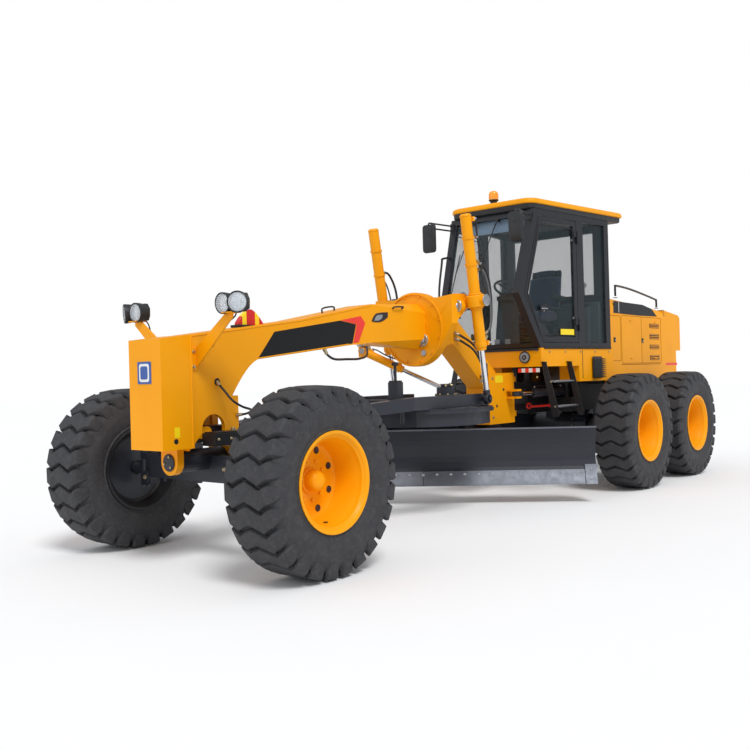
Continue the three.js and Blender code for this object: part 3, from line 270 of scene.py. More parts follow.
def moulded(name, colour, rough=0.5):
    """Injection-moulded plastic or trim with a fine leather grain."""
    made = Shade(name, colour, rough)
    paler = tuple(c * 1.35 + 0.01 for c in colour[:3]) + (1,)
    made.tint(made.ramp(made.noise(9, 5), 0.45, 0.8, 0, 0.45), paler)
    made.roughen(made.noise(40, 4), 0.3, 0.7, rough - 0.08, rough + 0.1)
    made.bump(made.noise(420, 2), 0.18, 0.0006)
    return made.material


def clear(name, colour, alpha, rough=0.03):
    """A thin pane: mostly see-through, with a tint and a sky-bright surface."""
    made = Shade(name, colour, rough)
    made.socket("Alpha").default_value = alpha
    made.socket("IOR").default_value = 1.5
    made.socket("Specular IOR Level").default_value = 0.9
    smears = made.noise(3, 5, 0.6)
    made.roughen(smears, 0.3, 0.8, rough, rough + 0.1)
    made.bump(made.noise(1.2, 1), 0.02, 0.01)
    return made.material


def woven(name, colour):
    """Seat cloth: crossed threads, a soft sheen and slow fading."""
    made = Shade(name, colour, 0.85, sheen=0.5)
    faded = tuple(c * 1.6 + 0.01 for c in colour[:3]) + (1,)
    made.tint(made.ramp(made.noise(8, 5), 0.45, 0.8, 0, 0.5), faded)
    for angle in (0.0, math.pi / 2):
        where = made.node("ShaderNodeTexCoord")
        turn = made.node("ShaderNodeMapping", Rotation=(0.3, 0.2, angle))
        thread = made.node("ShaderNodeTexWave", Scale=180, Distortion=0.6)
        made.link(where.outputs["Object"], turn.inputs["Vector"])
        made.link(turn.outputs["Vector"], thread.inputs["Vector"])
        made.bump(thread.outputs["Fac"], 0.35, 0.0012)
    return made.material


YELLOW = painted("yellow paint", linear(246, 162, 0), 0.42, 0.05, 0.04, 0.2)
SLATE = painted("slate paint", linear(38, 41, 50), 0.42, 0.4)
CAB = painted("cab paint", linear(30, 31, 36), 0.36, 0.06, shine=0.35)
BLACK = painted("black paint", linear(22, 23, 26), 0.45, 0.1)
RED = painted("red paint", linear(205, 32, 26), 0.35)
WHITE = painted("white paint", linear(232, 232, 228), 0.35)
BLUE = painted("blue enamel", linear(52, 88, 160), 0.3, 0.05)
LABEL = painted("yellow plate", linear(250, 218, 20), 0.35, 0.05)
DECAL = painted("black film", linear(16, 17, 20), 0.3, 0.03, 0.0, 0.25)
# The yellow paint darkened, for the thin lines of the panel gaps: painted shade that stands for the shade
# inside each gap.
GAP_SHADE = painted("painted gap shade", linear(150, 90, 0), 0.6, 0.0, 0.0, 0.1)
SIGNAL = painted("red film", linear(236, 54, 40), 0.3, 0.05)
RUBBER = rubbery("tyre rubber", linear(48, 48, 51))
HOSE = rubbery("hose rubber", linear(26, 26, 28), 0.5, 0.2)
SEAL = rubbery("seal rubber", linear(20, 20, 22), 0.55, 0.1)
CHROME = steel("chrome", (0.78, 0.8, 0.83, 1), 0.1, grain=(1, 1, 6))
STEEL = steel("worn steel", (0.42, 0.43, 0.45, 1), 0.36, scale=24)
EDGE = steel("cutting edge", linear(108, 112, 120), 0.44, 0.5, scale=14)
BRASS = steel("zinc plated", linear(190, 176, 140), 0.32, 0.8, scale=50)
PLASTIC = moulded("black plastic", linear(30, 31, 34))
GREY = moulded("grey plastic", linear(96, 99, 104))
LINING = moulded("cab lining", linear(74, 84, 88), 0.7)
MIRROR = steel("mirror glass", (0.85, 0.87, 0.9, 1), 0.05, scale=3)
GLASS = clear("tinted glass", linear(30, 52, 58), 0.22)
VISOR = clear("blue visor", linear(140, 172, 205), 0.85, 0.2)
LENS = clear("lamp glass", linear(235, 240, 245), 0.32)
AMBER = clear("amber lens", linear(255, 170, 20), 0.92, 0.12)
CLOTH = woven("seat cloth", linear(30, 44, 78))


# ---------------------------------------------------------------- shapes
class Form:
    """Closed forms gathered in one mesh, in machine coordinates."""

    def __init__(self, matrix=None):
        self.bm = bmesh.new()
        self.matrix = matrix or Matrix.Identity(4)

    def add(self, points, faces, tag):
        made = [self.bm.verts.new(self.matrix @ Vector(p)) for p in points]
        for face in faces:
            new = self.bm.faces.new([made[i] for i in face])
            new.material_index = tag
            new.smooth = True

    def rings(self, rings, closed=True, caps=True, tag=0):
        """Skins rings that have as many points each; caps close the two ends."""
        count = len(rings[0])
        points = [p for ring in rings for p in ring]
        faces = []
        for k in range(len(rings) - 1 if not closed else len(rings)):
            a, b = k * count, ((k + 1) % len(rings)) * count
            for i in range(count):
                j = (i + 1) % count
                faces.append((a + i, b + i, b + j, a + j))
        if caps and not closed:
            faces.append(tuple(range(count)))
            last = (len(rings) - 1) * count
            faces.append(tuple(range(last + count - 1, last - 1, -1)))
        self.add(points, faces, tag)

    def box(self, low, high, tag=0):
        low, high = Vector(low), Vector(high)
        ring = lambda z: [(low.x, low.y, z), (high.x, low.y, z), (high.x, high.y, z), (low.x, high.y, z)]
        self.rings([ring(low.z), ring(high.z)], closed=False, tag=tag)

    def block(self, centre, size, tag=0):
        centre, half = Vector(centre), Vector(size) / 2
        self.box(centre - half, centre + half, tag)

    def prism(self, outline, axis, low, high, tag=0):
        """An outline of [u, v] points pushed along x, y or z; u and v are the other two axes in order."""
        turns = {"x": lambda u, v, w: (w, u, v), "y": lambda u, v, w: (u, w, v)}
        where = turns.get(axis, lambda u, v, w: (u, v, w))
        rings = [[where(u, v, w) for u, v in outline] for w in (low, high)]
        self.rings(rings, closed=False, tag=tag)

    def sweep(self, points, radius, sides=10, tag=0, cap=True):
        """A round tube along points; radius may be one number or one for each point."""
        points = [Vector(p) for p in points]
        radii = radius if isinstance(radius, (list, tuple)) else [radius] * len(points)
        ahead = (points[1] - points[0]).normalized()
        side = ahead.orthogonal().normalized()
        rings = []
        for k, point in enumerate(points):
            before = points[max(k - 1, 0)]
            after = points[min(k + 1, len(points) - 1)]
            new = (after - before).normalized()
            side = (ahead.rotation_difference(new) @ side).normalized()
            ahead = new
            other = ahead.cross(side)
            turn = [2 * math.pi * i / sides for i in range(sides)]
            rings.append([point + radii[k] * (math.cos(t) * side + math.sin(t) * other) for t in turn])
        self.rings(rings, closed=False, caps=cap, tag=tag)

    def rod(self, a, b, radius, sides=24, tag=0):
        self.sweep([a, b], radius, sides, tag)

    def lathe(self, profile, centre, axis, segments=64, tag=0, start=0.0):
        """Turns [radius, height] points round an axis. They start and end on the axis, or form a ring."""
        centre, axis = Vector(centre), Vector(axis).normalized()
        side = axis.orthogonal().normalized()
        other = axis.cross(side)
        on_axis = profile[0][0] < 1e-6
        body = profile[1:-1] if on_axis else profile
        rings = []
        for radius, height in body:
            ring = []
            for i in range(segments):
                t = start + 2 * math.pi * i / segments
                ring.append(centre + axis * height + radius * (math.cos(t) * side + math.sin(t) * other))
            rings.append(ring)
        if not on_axis:
            self.rings(rings, closed=True, tag=tag)
            return
        count = len(rings)
        points = [p for ring in rings for p in ring]
        points += [centre + axis * profile[0][1], centre + axis * profile[-1][1]]
        faces = []
        for k in range(count - 1):
            a, b = k * segments, (k + 1) * segments
            for i in range(segments):
                j = (i + 1) % segments
                faces.append((a + i, b + i, b + j, a + j))
        last = (count - 1) * segments
        for i in range(segments):
            j = (i + 1) % segments
            faces.append((count * segments, i, j))
            faces.append((count * segments + 1, last + j, last + i))
        self.add(points, faces, tag)

    def spin(self, profile, segments, tag=0):
        """Turns a profile round the form's own z axis."""
        self.lathe(profile, (0, 0, 0), UP, segments, tag)

    def pipe(self, points, steps, radius, sides, tag=0):
        """A round tube along a smooth line through points."""
        self.sweep(curve_points(points, steps), radius, sides, tag)

    def button(self, shoulder, rim, top, at, axis, segments, tag=0):
        """A round cover, by the (radius, height) of its shoulder and rim and the height of its top."""
        profile = [(0, 0), (shoulder[0], 0), shoulder, rim, (0, top)]
        self.lathe(profile, at, axis, segments, tag)

    def bolt(self, at, axis, size=0.012, tag=0):
        """A washer and a six-sided head that stand on a face."""
        at, axis = Vector(at), Vector(axis).normalized()
        self.rod(at - axis * 0.002, at + axis * size * 0.22, size * 1.35, 16, tag)
        self.rod(at, at + axis * size * 1.1, size, 6, tag)

    def bolt_ring(self, centre, axis, radius, count, size=0.012, tag=0, start=0.0):
        centre, axis = Vector(centre), Vector(axis).normalized()
        side = axis.orthogonal().normalized()
        other = axis.cross(side)
        for i in range(count):
            t = start + 2 * math.pi * i / count
            self.bolt(centre + radius * (math.cos(t) * side + math.sin(t) * other), axis, size, tag)

    def piece(self, name, body, materials, bevel=0.0, crease=38, stands_for=()):
        """Ends the form: one object that rides on a body."""
        bmesh.ops.recalc_face_normals(self.bm, faces=self.bm.faces)
        mesh = bpy.data.meshes.new(name)
        self.bm.to_mesh(mesh)
        self.bm.free()
        mesh.transform(Matrix.Translation(ORIGIN))
        for material in materials:
            mesh.materials.append(material)
        mesh.set_sharp_from_angle(angle=math.radians(crease))
        made = put(name, mesh)
        if bevel:
            soften(made, bevel)
        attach(made, body)
        if stands_for:
            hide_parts(*stands_for)
        return made


def plate(form, outline, side, at, proud=0.0012, tag=0):
    """A thin plate on a side face of the machine: an outline of [x, z] points, proud of the face."""
    low, high = span(side, at - 0.001, at + proud)
    form.prism(outline, "y", low, high, tag)


def rounded(low, high, radius, steps=6):
    """A rectangle with round corners between two corners."""
    (u0, v0), (u1, v1) = low, high
    points = []
    corners = ((u1 - radius, v1 - radius, 0), (u0 + radius, v1 - radius, 90))
    corners += ((u0 + radius, v0 + radius, 180), (u1 - radius, v0 + radius, 270))
    for cu, cv, start in corners:
        for k in range(steps + 1):
            t = math.radians(start + 90 * k / steps)
            points.append((cu + radius * math.cos(t), cv + radius * math.sin(t)))
    return points


def hoop(radius, thick, count):
    """The closed profile of a round ring, for turning."""
    turns = [2 * math.pi * k / count for k in range(count)]
    return [(radius + thick * math.cos(t), thick * math.sin(t)) for t in turns]


def soften(thing, width, segments=2):
    """Rounds the edges that show."""
    made = thing.modifiers.new("soften", "BEVEL")
    made.width = width
    made.segments = segments
    made.limit_method = "ANGLE"
    made.angle_limit = math.radians(32)
    made.use_clamp_overlap = True
    made.harden_normals = False


def curve_points(points, steps=8):
    """A smooth line through points."""
    points = [Vector(p) for p in points]
    ends = [2 * points[0] - points[1]] + points + [2 * points[-1] - points[-2]]
    line = []
    for k in range(1, len(ends) - 2):
        p0, p1, p2, p3 = ends[k - 1 : k + 3]
        for i in range(steps):
            t = i / steps
            line.append(0.5 * (2 * p1 + (p2 - p0) * t + (2 * p0 - 5 * p1 + 4 * p2 - p3) * t**2
                + (3 * p1 - p0 - 3 * p2 + p3) * t**3))
    line.append(points[-1])
    return line


# ---------------------------------------------------------------- finish of the solid model's own pieces
def pair(stem):
    """The left and right names of one kind of node."""
    return [f"{stem}_{name}" for name, _ in SIDES]


FINISH = ((YELLOW, 0.012, ["hood", "front_frame"]), (YELLOW, 0.006, ["cab_floor"]),
    (YELLOW, 0.005, ["saddle"]), (BLACK, 0.006, ["rear_frame"]), (STEEL, 0.01, ["engine_block"]),
    (CAB, 0.006, ["cab_frame", *pair("door")]), (CAB, 0.003, pair("ladder")),
    (GLASS, 0, ["windscreen", "rear_glass", *pair("side_glass"), *pair("door_glass")]),
    (SLATE, 0.01, pair("tandem")), (SLATE, 0.006, ["rear_axle", "front_axle"]), (SLATE, 0.005, ["drawbar"]),
    (SLATE, 0.004, ["circle", "blade_carrier", *pair("lean_bracket"), *pair("knuckle")]),
    (SLATE, 0.003, ["blade"]))
for material, width, names in FINISH:
    for name in names:
        data = NODES[name].data
        data.materials.clear()
        data.materials.append(material)
        data.shade_smooth()
        data.set_sharp_from_angle(angle=math.radians(30))
        if width:
            soften(NODES[name], width)


# ---------------------------------------------------------------- wheels
TREAD_BARS, WHEEL_NUTS, HAND_HOLES = 26, 10, 8


def tread_bar(form, centre, phase):
    """One bar of the tread: it zigzags over the crown and runs down both shoulders, narrowing as it goes."""
    half = 0.2
    crown = WHEEL_R - 0.0005
    sag, pitch = 0.056, 2 * math.pi / TREAD_BARS
    zigzag = ((0, 0), (0.31, 0.45), (0.62, 1), (0.8, 0.55), (0.93, 0.3))
    stations = []
    for u, drop in zigzag:
        stations.append((u * half, crown - 0.008 * u * u, 0.036, 0.066 - 0.004 * u, -sag * drop))
    stations += [(0.209, crown - 0.022, 0.04, 0.06, -sag * 0.22),
        (0.2185, crown - 0.05, 0.034, 0.055, -sag * 0.18), (0.2215, crown - 0.085, 0.02, 0.05, -sag * 0.15),
        (0.2222, crown - 0.118, 0.006, 0.034, -sag * 0.15)]
    walk = [(-y, r, depth, width, shift) for y, r, depth, width, shift in reversed(stations[1:])] + stations
    rings = []
    for y, r, depth, width, shift in walk:
        inward = 0 if r > crown - 0.012 else min(1, (crown - r) / 0.05)
        base_r = r - depth * (1 - 0.45 * inward)
        base_y = y - math.copysign(depth * 0.8 * inward, y)
        ring = []
        for across, up in ((-1.12, 0), (-1, 0.78), (-0.9, 1), (0.9, 1), (1, 0.78), (1.12, 0)):
            radius = base_r + (r - base_r) * up
            side_y = base_y + (y - base_y) * up
            t = phase * pitch + (shift + across * width) / WHEEL_R
            ring.append(centre + Vector((radius * math.cos(t), side_y, radius * math.sin(t))))
        rings.append(ring)
    form.rings(rings, closed=False)


def tyre(node, body):
    """A tyre with a bulged wall and its chevron tread."""
    centre = place(node)
    form = Form()
    wall = [(0.333, 0.165), (0.344, 0.186), (0.362, 0.193), (0.374, 0.187), (0.384, 0.192), (0.43, 0.213),
        (0.476, 0.2205), (0.492, 0.2225), (0.5, 0.2215), (0.545, 0.219), (0.585, 0.206), (0.614, 0.184),
        (0.628, 0.15), (0.634, 0.08), (0.636, 0.0)]
    profile = wall + [(r, -h) for r, h in reversed(wall[:-1])]
    form.lathe(profile, centre, LEFT, 104)
    for bar in range(TREAD_BARS):
        tread_bar(form, centre, bar)
    form.piece(node + "_tread", body, [RUBBER], crease=28, stands_for=[node])


def rim(node, body, side, capped):
    """A dished steel wheel: a rolled lip, a stepped well and a disc with hand holes and nuts."""
    centre = place(node)
    out = LEFT * side
    form = Form()
    middle_of = [(0.0, 0.062), (0.03, 0.06), (0.056, 0.05), (0.071, 0.032), (0.076, 0.01), (0.078, -0.03)]
    middle_of += [(0.09, -0.034), (0.096, -0.05)]
    plain = [(0.0, -0.034), (0.052, -0.034), (0.058, -0.04), (0.058, -0.052), (0.094, -0.054)]
    profile = (middle_of if capped else plain) + [(0.188, -0.056), (0.2, -0.06), (0.25, -0.06),
        (0.268, -0.05), (0.276, -0.02), (0.283, 0.07), (0.288, 0.082), (0.292, 0.12), (0.3, 0.134),
        (0.306, 0.16), (0.309, 0.172), (0.316, 0.176), (0.324, 0.19), (0.332, 0.1995), (0.346, 0.2043),
        (0.3555, 0.2035), (0.3575, 0.199), (0.356, 0.193), (0.345, 0.189), (0.334, 0.178), (0.3295, 0.16),
        (0.3295, -0.16), (0.345, -0.189), (0.3575, -0.197), (0.3555, -0.2035), (0.332, -0.2), (0.3, -0.15),
        (0.288, -0.1), (0.27, -0.085), (0.0, -0.08)]
    form.lathe(profile, centre, out, 96)
    # The faces on the inner side of the disc are black: partly the rim's dark paint, partly painted shade of
    # the wheel's hollow inside.
    for face in form.bm.faces:
        spot = face.calc_center_median() - centre
        if spot.dot(out) < -0.075:
            face.material_index = 3
    # The hand holes are not cut through: each is a shallow slate disc, painted shade that stands for the dark
    # seen through the hole.
    for k in range(HAND_HOLES):
        t = 2 * math.pi * (k + 0.5) / HAND_HOLES
        spoke = Vector((math.cos(t), 0, math.sin(t)))
        at = centre + spoke * 0.222 + out * -0.059
        form.lathe([(0, 0.002), (0.02, 0.0022), (0.0235, 0.004), (0.026, 0.0), (0, -0.004)], at, out, 20,
            tag=1)
    form.bolt_ring(centre + out * -0.056, out, 0.142, WHEEL_NUTS, 0.0135)
    valve = centre + Vector((0.0, 0, -0.287)) + out * 0.062
    form.rod(valve, valve + out * 0.05 + UP * 0.008, 0.005, 10, tag=2)
    form.lathe([(0.262, -0.086), (0.262, -0.092), (0.06, -0.1), (0.06, -0.086)], centre, out, 48, tag=1)
    form.piece(node + "_wheel", body, [YELLOW, SLATE, HOSE, BLACK], crease=33,
        stands_for=[node])


for name, side in SIDES:
    for row in ("front", "mid", "rear"):
        tyre(f"{row}_{name}_tyre", f"{row}_{name}_wheel")
        rim(f"{row}_{name}_rim", f"{row}_{name}_wheel", side, row == "front")


# ---------------------------------------------------------------- cylinders
def axes_at(origin, along, side=None):
    """A matrix whose z runs along a direction from an origin, and whose x leans towards side."""
    z = Vector(along).normalized()
    x = Vector(side) if side is not None else z.orthogonal()
    x = (x - x.dot(z) * z).normalized()
    turn = Matrix((x, z.cross(x), z)).transposed()
    return Matrix.Translation(Vector(origin)) @ turn.to_4x4()


def barrel_form(form, low, high, radius, bore, gland_low, tag=0, cap=0.06):
    """A hollow tube on the local z axis, with a screwed gland at its open end and a cap at the other."""
    grip = radius + 0.004
    if gland_low:
        outline = [(0, high - cap), (bore, high - cap), (bore, low), (radius - 0.01, low),
            (radius - 0.004, low + 0.006), (radius - 0.004, low + 0.03), (grip, low + 0.034),
            (grip, low + 0.075), (radius, low + 0.08), (radius, high - 0.028), (grip, high - 0.026),
            (grip, high - 0.018), (radius - 0.001, high - 0.016), (radius - 0.008, high - 0.003),
            (radius - 0.02, high), (0, high)]
        form.spin(outline, 40, tag)
    else:
        form.spin(high_end_profile(low, high, radius, bore), 36, tag)


def high_end_profile(low, high, radius, bore):
    """The outline of a barrel whose open end is its high one."""
    grip = radius + 0.003
    return [(0, low + 0.06), (bore, low + 0.06), (bore, high), (radius - 0.008, high),
        (radius - 0.003, high - 0.006), (radius - 0.003, high - 0.026), (grip, high - 0.03),
        (grip, high - 0.06), (radius, high - 0.064), (radius, low + 0.02), (radius - 0.012, low), (0, low)]


LIFT = Vector((-2.905, 0.585, 2.109))
LIFT_LEAN = 9.8


def lift_cylinder(name, side):
    """A long barrel swung in a yoke on the saddle arm, with its rod reaching down to the drawbar."""
    pivot = Vector((LIFT.x, side * LIFT.y, LIFT.z))
    lean = math.radians(LIFT_LEAN)
    along = Vector((math.sin(lean), 0, math.cos(lean)))
    form = Form(axes_at(pivot, along, AHEAD))
    barrel_form(form, -0.496, 0.859, 0.055, 0.0285, True)
    collar = [(0.061, -0.062), (0.086, -0.06), (0.092, -0.052), (0.092, 0.052), (0.086, 0.06),
        (0.061, 0.062)]
    form.spin(collar, 40)
    for z in (-0.07, 0.07):
        form.spin([(0.0595, z - 0.012), (0.068, z - 0.004), (0.068, z + 0.004), (0.0595, z + 0.012)], 36)
    inward = -side
    form.rod((0, inward * 0.144, 0), (0, side * 0.124, 0), 0.053, 32)
    form.lathe([(0, 0.12), (0.06, 0.12), (0.06, 0.13), (0.05, 0.134), (0, 0.134)], (0, 0, 0), (0, side, 0),
        32, tag=2)
    form.bolt_ring((0, side * 0.133, 0.0), (0, side, 0), 0.036, 4, 0.007, tag=2)
    for z in (0.8, -0.43):
        form.block((-0.05, side * 0.046, z), (0.036, 0.036, 0.044))
        form.rod((-0.055, side * 0.052, z), (-0.078, side * 0.068, z), 0.011, 12, tag=2)
    pipe = [(-0.07, side * 0.06, 0.79), (-0.072, side * 0.062, 0.74), (-0.074, side * 0.062, 0.5)]
    pipe += [(-0.074, side * 0.062, 0.16), (-0.09, side * 0.075, 0.1), (-0.105, side * 0.04, 0.02)]
    form.pipe(pipe, 5, 0.0085, 10, tag=1)
    for z in (0.62, 0.36):
        form.spin([(0.0605, z - 0.011), (0.064, z - 0.01), (0.064, z + 0.01), (0.0605, z + 0.011)], 32)
        form.block((-0.066, side * 0.055, z), (0.03, 0.03, 0.022), tag=2)
    node = f"lift_{name}_barrel"
    form.piece(node + "_tube", node, [YELLOW, SEAL, STEEL], 0.0015, stands_for=[node])
    form = Form(axes_at(pivot, along, AHEAD))
    shaft = [(0, -0.945), (0.025, -0.945), (0.027, -0.94), (0.027, 0.53), (0.025, 0.535), (0, 0.535)]
    form.spin(shaft, 32)
    eye = [(0.0375, -0.026), (0.049, -0.026), (0.053, -0.02), (0.053, 0.02), (0.049, 0.026),
        (0.0375, 0.026)]
    form.lathe(eye, (0, 0, -0.99), LEFT, 36, tag=1)
    form.spin([(0, -0.965), (0.026, -0.962), (0.034, -0.948), (0.036, -0.92), (0.033, -0.9), (0, -0.9)], 28,
        tag=1)
    form.rod((0.052, 0, -0.99), (0.064, 0, -0.99), 0.004, 8, tag=1)
    node = f"lift_{name}_rod"
    form.piece(node + "_shaft", node, [CHROME, SLATE], stands_for=[node])


def swing_cylinder():
    """The cylinder from the saddle to the drawbar."""
    root, eye = Vector((-2.6, -0.64, 1.657)), Vector((-2.958, 0.15, 1.236))
    along = root - eye
    reach = along.length
    form = Form(axes_at(root, along, UP))
    barrel_form(form, -0.48, -0.035, 0.042, 0.0235, True, cap=0.014)
    form.rod((0, -0.034, 0), (0, 0.034, 0), 0.042, 28)
    form.rod((0, -0.04, 0), (0, 0.04, 0), 0.03, 24, tag=2)
    for z in (-0.09, -0.42):
        form.block((0.042, 0, z), (0.026, 0.03, 0.036))
        form.rod((0.052, 0, z), (0.072, 0, z), 0.009, 12, tag=2)
    pipe = [(0.064, 0, -0.1), (0.07, 0.01, -0.14), (0.062, 0.012, -0.25), (0.07, 0.01, -0.38),
        (0.064, 0, -0.41)]
    form.pipe(pipe, 5, 0.007, 10, tag=1)
    form.piece("swing_barrel_tube", "swing_barrel", [YELLOW, SEAL, STEEL], 0.0015,
        stands_for=["swing_barrel"])
    form = Form(axes_at(root, along, UP))
    form.spin([(0, -reach + 0.03), (0.022, -reach + 0.03), (0.022, -0.19), (0.02, -0.185), (0, -0.185)], 28)
    ball = [(0.04 * math.sin(math.pi * k / 12), -reach - 0.04 * math.cos(math.pi * k / 12))
        for k in range(13)]
    form.spin([(0, ball[0][1])] + ball[1:-1] + [(0, ball[-1][1])], 28, tag=1)
    form.spin([(0.0225, -reach + 0.075), (0.032, -reach + 0.07), (0.034, -reach + 0.035),
        (0.0225, -reach + 0.03)], 28, tag=1)
    form.piece("swing_rod_shaft", "swing_rod", [CHROME, STEEL], stands_for=["swing_rod"])


def bend_cylinder(name, side):
    """One of the two cylinders that bend the machine, beside its frame."""
    root, eye = Vector((-5.3, side * 0.3, 1.147)), Vector((-4.2, side * 0.25, 1.147))
    along = eye - root
    reach = along.length
    end = place(f"bend_{name}_barrel", fx=1).x - root.x
    form = Form(axes_at(root, along, UP))
    barrel_form(form, 0.04, end, 0.048, 0.0265, False)
    form.rod((-0.026, 0, 0), (0.026, 0, 0), 0.046, 28)
    form.rod((0.1, 0, 0), (0, 0, 0), 0.03, 20)
    for z in (0.13, end - 0.05):
        form.block((0.046, 0, z), (0.028, 0.032, 0.04))
        form.rod((0.058, 0, z), (0.078, 0, z), 0.009, 12, tag=2)
    pipe = [(0.07, 0, end - 0.06), (0.075, 0, end - 0.12), (0.07, 0, 0.5 * end), (0.075, 0, 0.2),
        (0.07, 0, 0.14)]
    form.pipe(pipe, 5, 0.007, 10, tag=1)
    form.piece(f"bend_{name}_tube", f"bend_{name}_barrel", [SLATE, SEAL, STEEL], 0.0015,
        stands_for=[f"bend_{name}_barrel"])
    form = Form(axes_at(root, along, UP))
    form.spin([(0, 0.26), (0.024, 0.26), (0.025, 0.265), (0.025, reach - 0.05), (0, reach - 0.05)], 28)
    eye_ring = [(0.0235, -0.025), (0.042, -0.025), (0.046, -0.021), (0.046, 0.021), (0.042, 0.025),
        (0.0235, 0.025)]
    form.lathe(eye_ring, (0, 0, reach), AHEAD, 32, tag=1)
    form.spin([(0, reach - 0.055), (0.0262, reach - 0.053), (0.0266, reach - 0.1), (0.025, reach - 0.11),
        (0, reach - 0.11)], 28, tag=1)
    form.piece(f"bend_{name}_shaft", f"bend_{name}_rod", [CHROME, SLATE],
        stands_for=[f"bend_{name}_rod"])


for name, side in SIDES:
    lift_cylinder(name, side)
    bend_cylinder(name, side)
swing_cylinder()


# ---------------------------------------------------------------- working lamps
LAMP = Vector((0.261, 0.58, 1.949))


def work_lamp(name, side):
    """Twin round lamps in a black housing on a slanting plate from the beam."""
    x, y, z = LAMP
    foot, under = 0.1503, z - 0.075
    form = Form()
    arm = [(foot, 1.477), (y, under - 0.03), (y, under + 0.006), (y - 0.07, under + 0.006), (foot, 1.627)]
    form.prism(faced(arm, side), "x", x - 0.008, x + 0.008)
    form.box((x - 0.008, min(side * foot, side * (foot + 0.012)), 1.477),
        (x + 0.045, max(side * foot, side * (foot + 0.012)), 1.637))
    form.block((x, side * (y - 0.02), under + 0.004), (0.09, 0.115, 0.01))
    for high in (1.5, 1.612):
        form.bolt((x + 0.026, side * (foot + 0.012), high), (0, side, 0), 0.011, tag=1)
    form.piece(f"lamp_{name}_arm", "front_frame", [YELLOW, BRASS], 0.002,
        stands_for=[f"lamp_{name}"])
    for kind, turn, off in (("inner", 0.0, -0.06), ("outer", side * 0.5, 0.066)):
        form = Form()
        facing = Vector((math.cos(turn), math.sin(turn), -0.06)).normalized()
        form.matrix = axes_at((x - 0.012, side * (y + off), z), facing, UP) @ Matrix.Scale(1.14, 4)
        shell = [(0, -0.045), (0.03, -0.043), (0.05, -0.032), (0.062, -0.01), (0.067, 0.02), (0.069, 0.045)]
        shell += [(0.069, 0.052), (0.064, 0.055), (0.061, 0.05), (0.056, 0.03), (0, 0.012)]
        form.spin(shell, 40)
        form.spin([(0, 0.014), (0.05, 0.028), (0.05, 0.026), (0, 0.011)], 32, tag=1)
        form.spin([(0, 0.018), (0.012, 0.02), (0.014, 0.034), (0.006, 0.04), (0, 0.041)], 20, tag=3)
        lens = [(0, 0.058), (0.02, 0.0575), (0.04, 0.0555), (0.06, 0.051), (0.06, 0.048), (0, 0.053)]
        form.spin(lens, 40, tag=2)
        for k in range(-4, 5):
            u = k * 0.0125
            reach = math.sqrt(max(0.056**2 - u * u, 0))
            form.sweep([(u * 0.98, -reach, 0.0525), (u, 0, 0.0575), (u * 0.98, reach, 0.0525)], 0.0022, 6,
                tag=2)
        form.piece(f"lamp_{name}_{kind}", "front_frame", [PLASTIC, CHROME, LENS, WHITE])
    form = Form(Matrix.Translation((x, side * y, z)))
    cover = [(-0.118, -0.03), (-0.1, -0.066), (0.08, -0.07), (0.122, -0.05), (0.124, 0.02), (0.1, 0.066),
        (-0.09, 0.072), (-0.12, 0.03)]
    form.prism([(side * u, v * 0.98) for u, v in cover], "x", -0.055, -0.02)
    form.rod((0, 0, -0.075), (0, 0, -0.06), 0.02, 16)
    form.pipe([(-0.05, -side * 0.02, -0.03), (-0.075, -side * 0.06, -0.09), (-0.04, -side * 0.14, -0.16),
        (-0.02, -side * 0.26, -0.31)], 6, 0.006, 8, tag=1)
    form.piece(f"lamp_{name}_back", "front_frame", [PLASTIC, SEAL], 0.006)


# ---------------------------------------------------------------- cab
CAB_HALF, CAB_FRONT, CAB_REAR, CAB_FLOOR = 0.74, 0.551, -5.65, 1.655
CAB_HEAD = Vector((-4.186, 0, 3.2))
CAB_KNEE = Vector((-3.872, 0, 2.253))
CAB_FOOT = Vector((-4.243, 0, CAB_FLOOR))


def cab_y(x):
    """Half the cab's width at a place along it."""
    return CAB_HALF - (CAB_HALF - CAB_FRONT) * (x - CAB_REAR) / (CAB_HEAD.x - CAB_REAR)


def cab_x(z):
    """The windscreen's surface at a height."""
    low, high = (CAB_FOOT, CAB_KNEE) if z < CAB_KNEE.z else (CAB_KNEE, CAB_HEAD)
    return low.x + (high.x - low.x) * (z - low.z) / (high.z - low.z)


ROOF_FRONT, ROOF_BACK, ROOF_OVER = -4.13, -5.96, 0.022


def roof_plan(inset, front_round=0.14, rear_round=0.05):
    """The roof's outline with round corners, drawn in by an inset."""
    front, back = ROOF_FRONT - inset, ROOF_BACK + inset
    points = []
    for sx, sy, r in ((1, 1, front_round), (-1, 1, rear_round), (-1, -1, rear_round), (1, -1, front_round)):
        x = front if sx > 0 else back
        y = sy * (cab_y(x) + ROOF_OVER - inset)
        cx, cy = x - sx * r, y - sy * r
        start = {(1, 1): 0, (-1, 1): 90, (-1, -1): 180, (1, -1): 270}[(sx, sy)]
        for k in range(7):
            t = math.radians(start + 15 * k)
            points.append((cx + r * math.cos(t), cy + r * math.sin(t)))
    return points


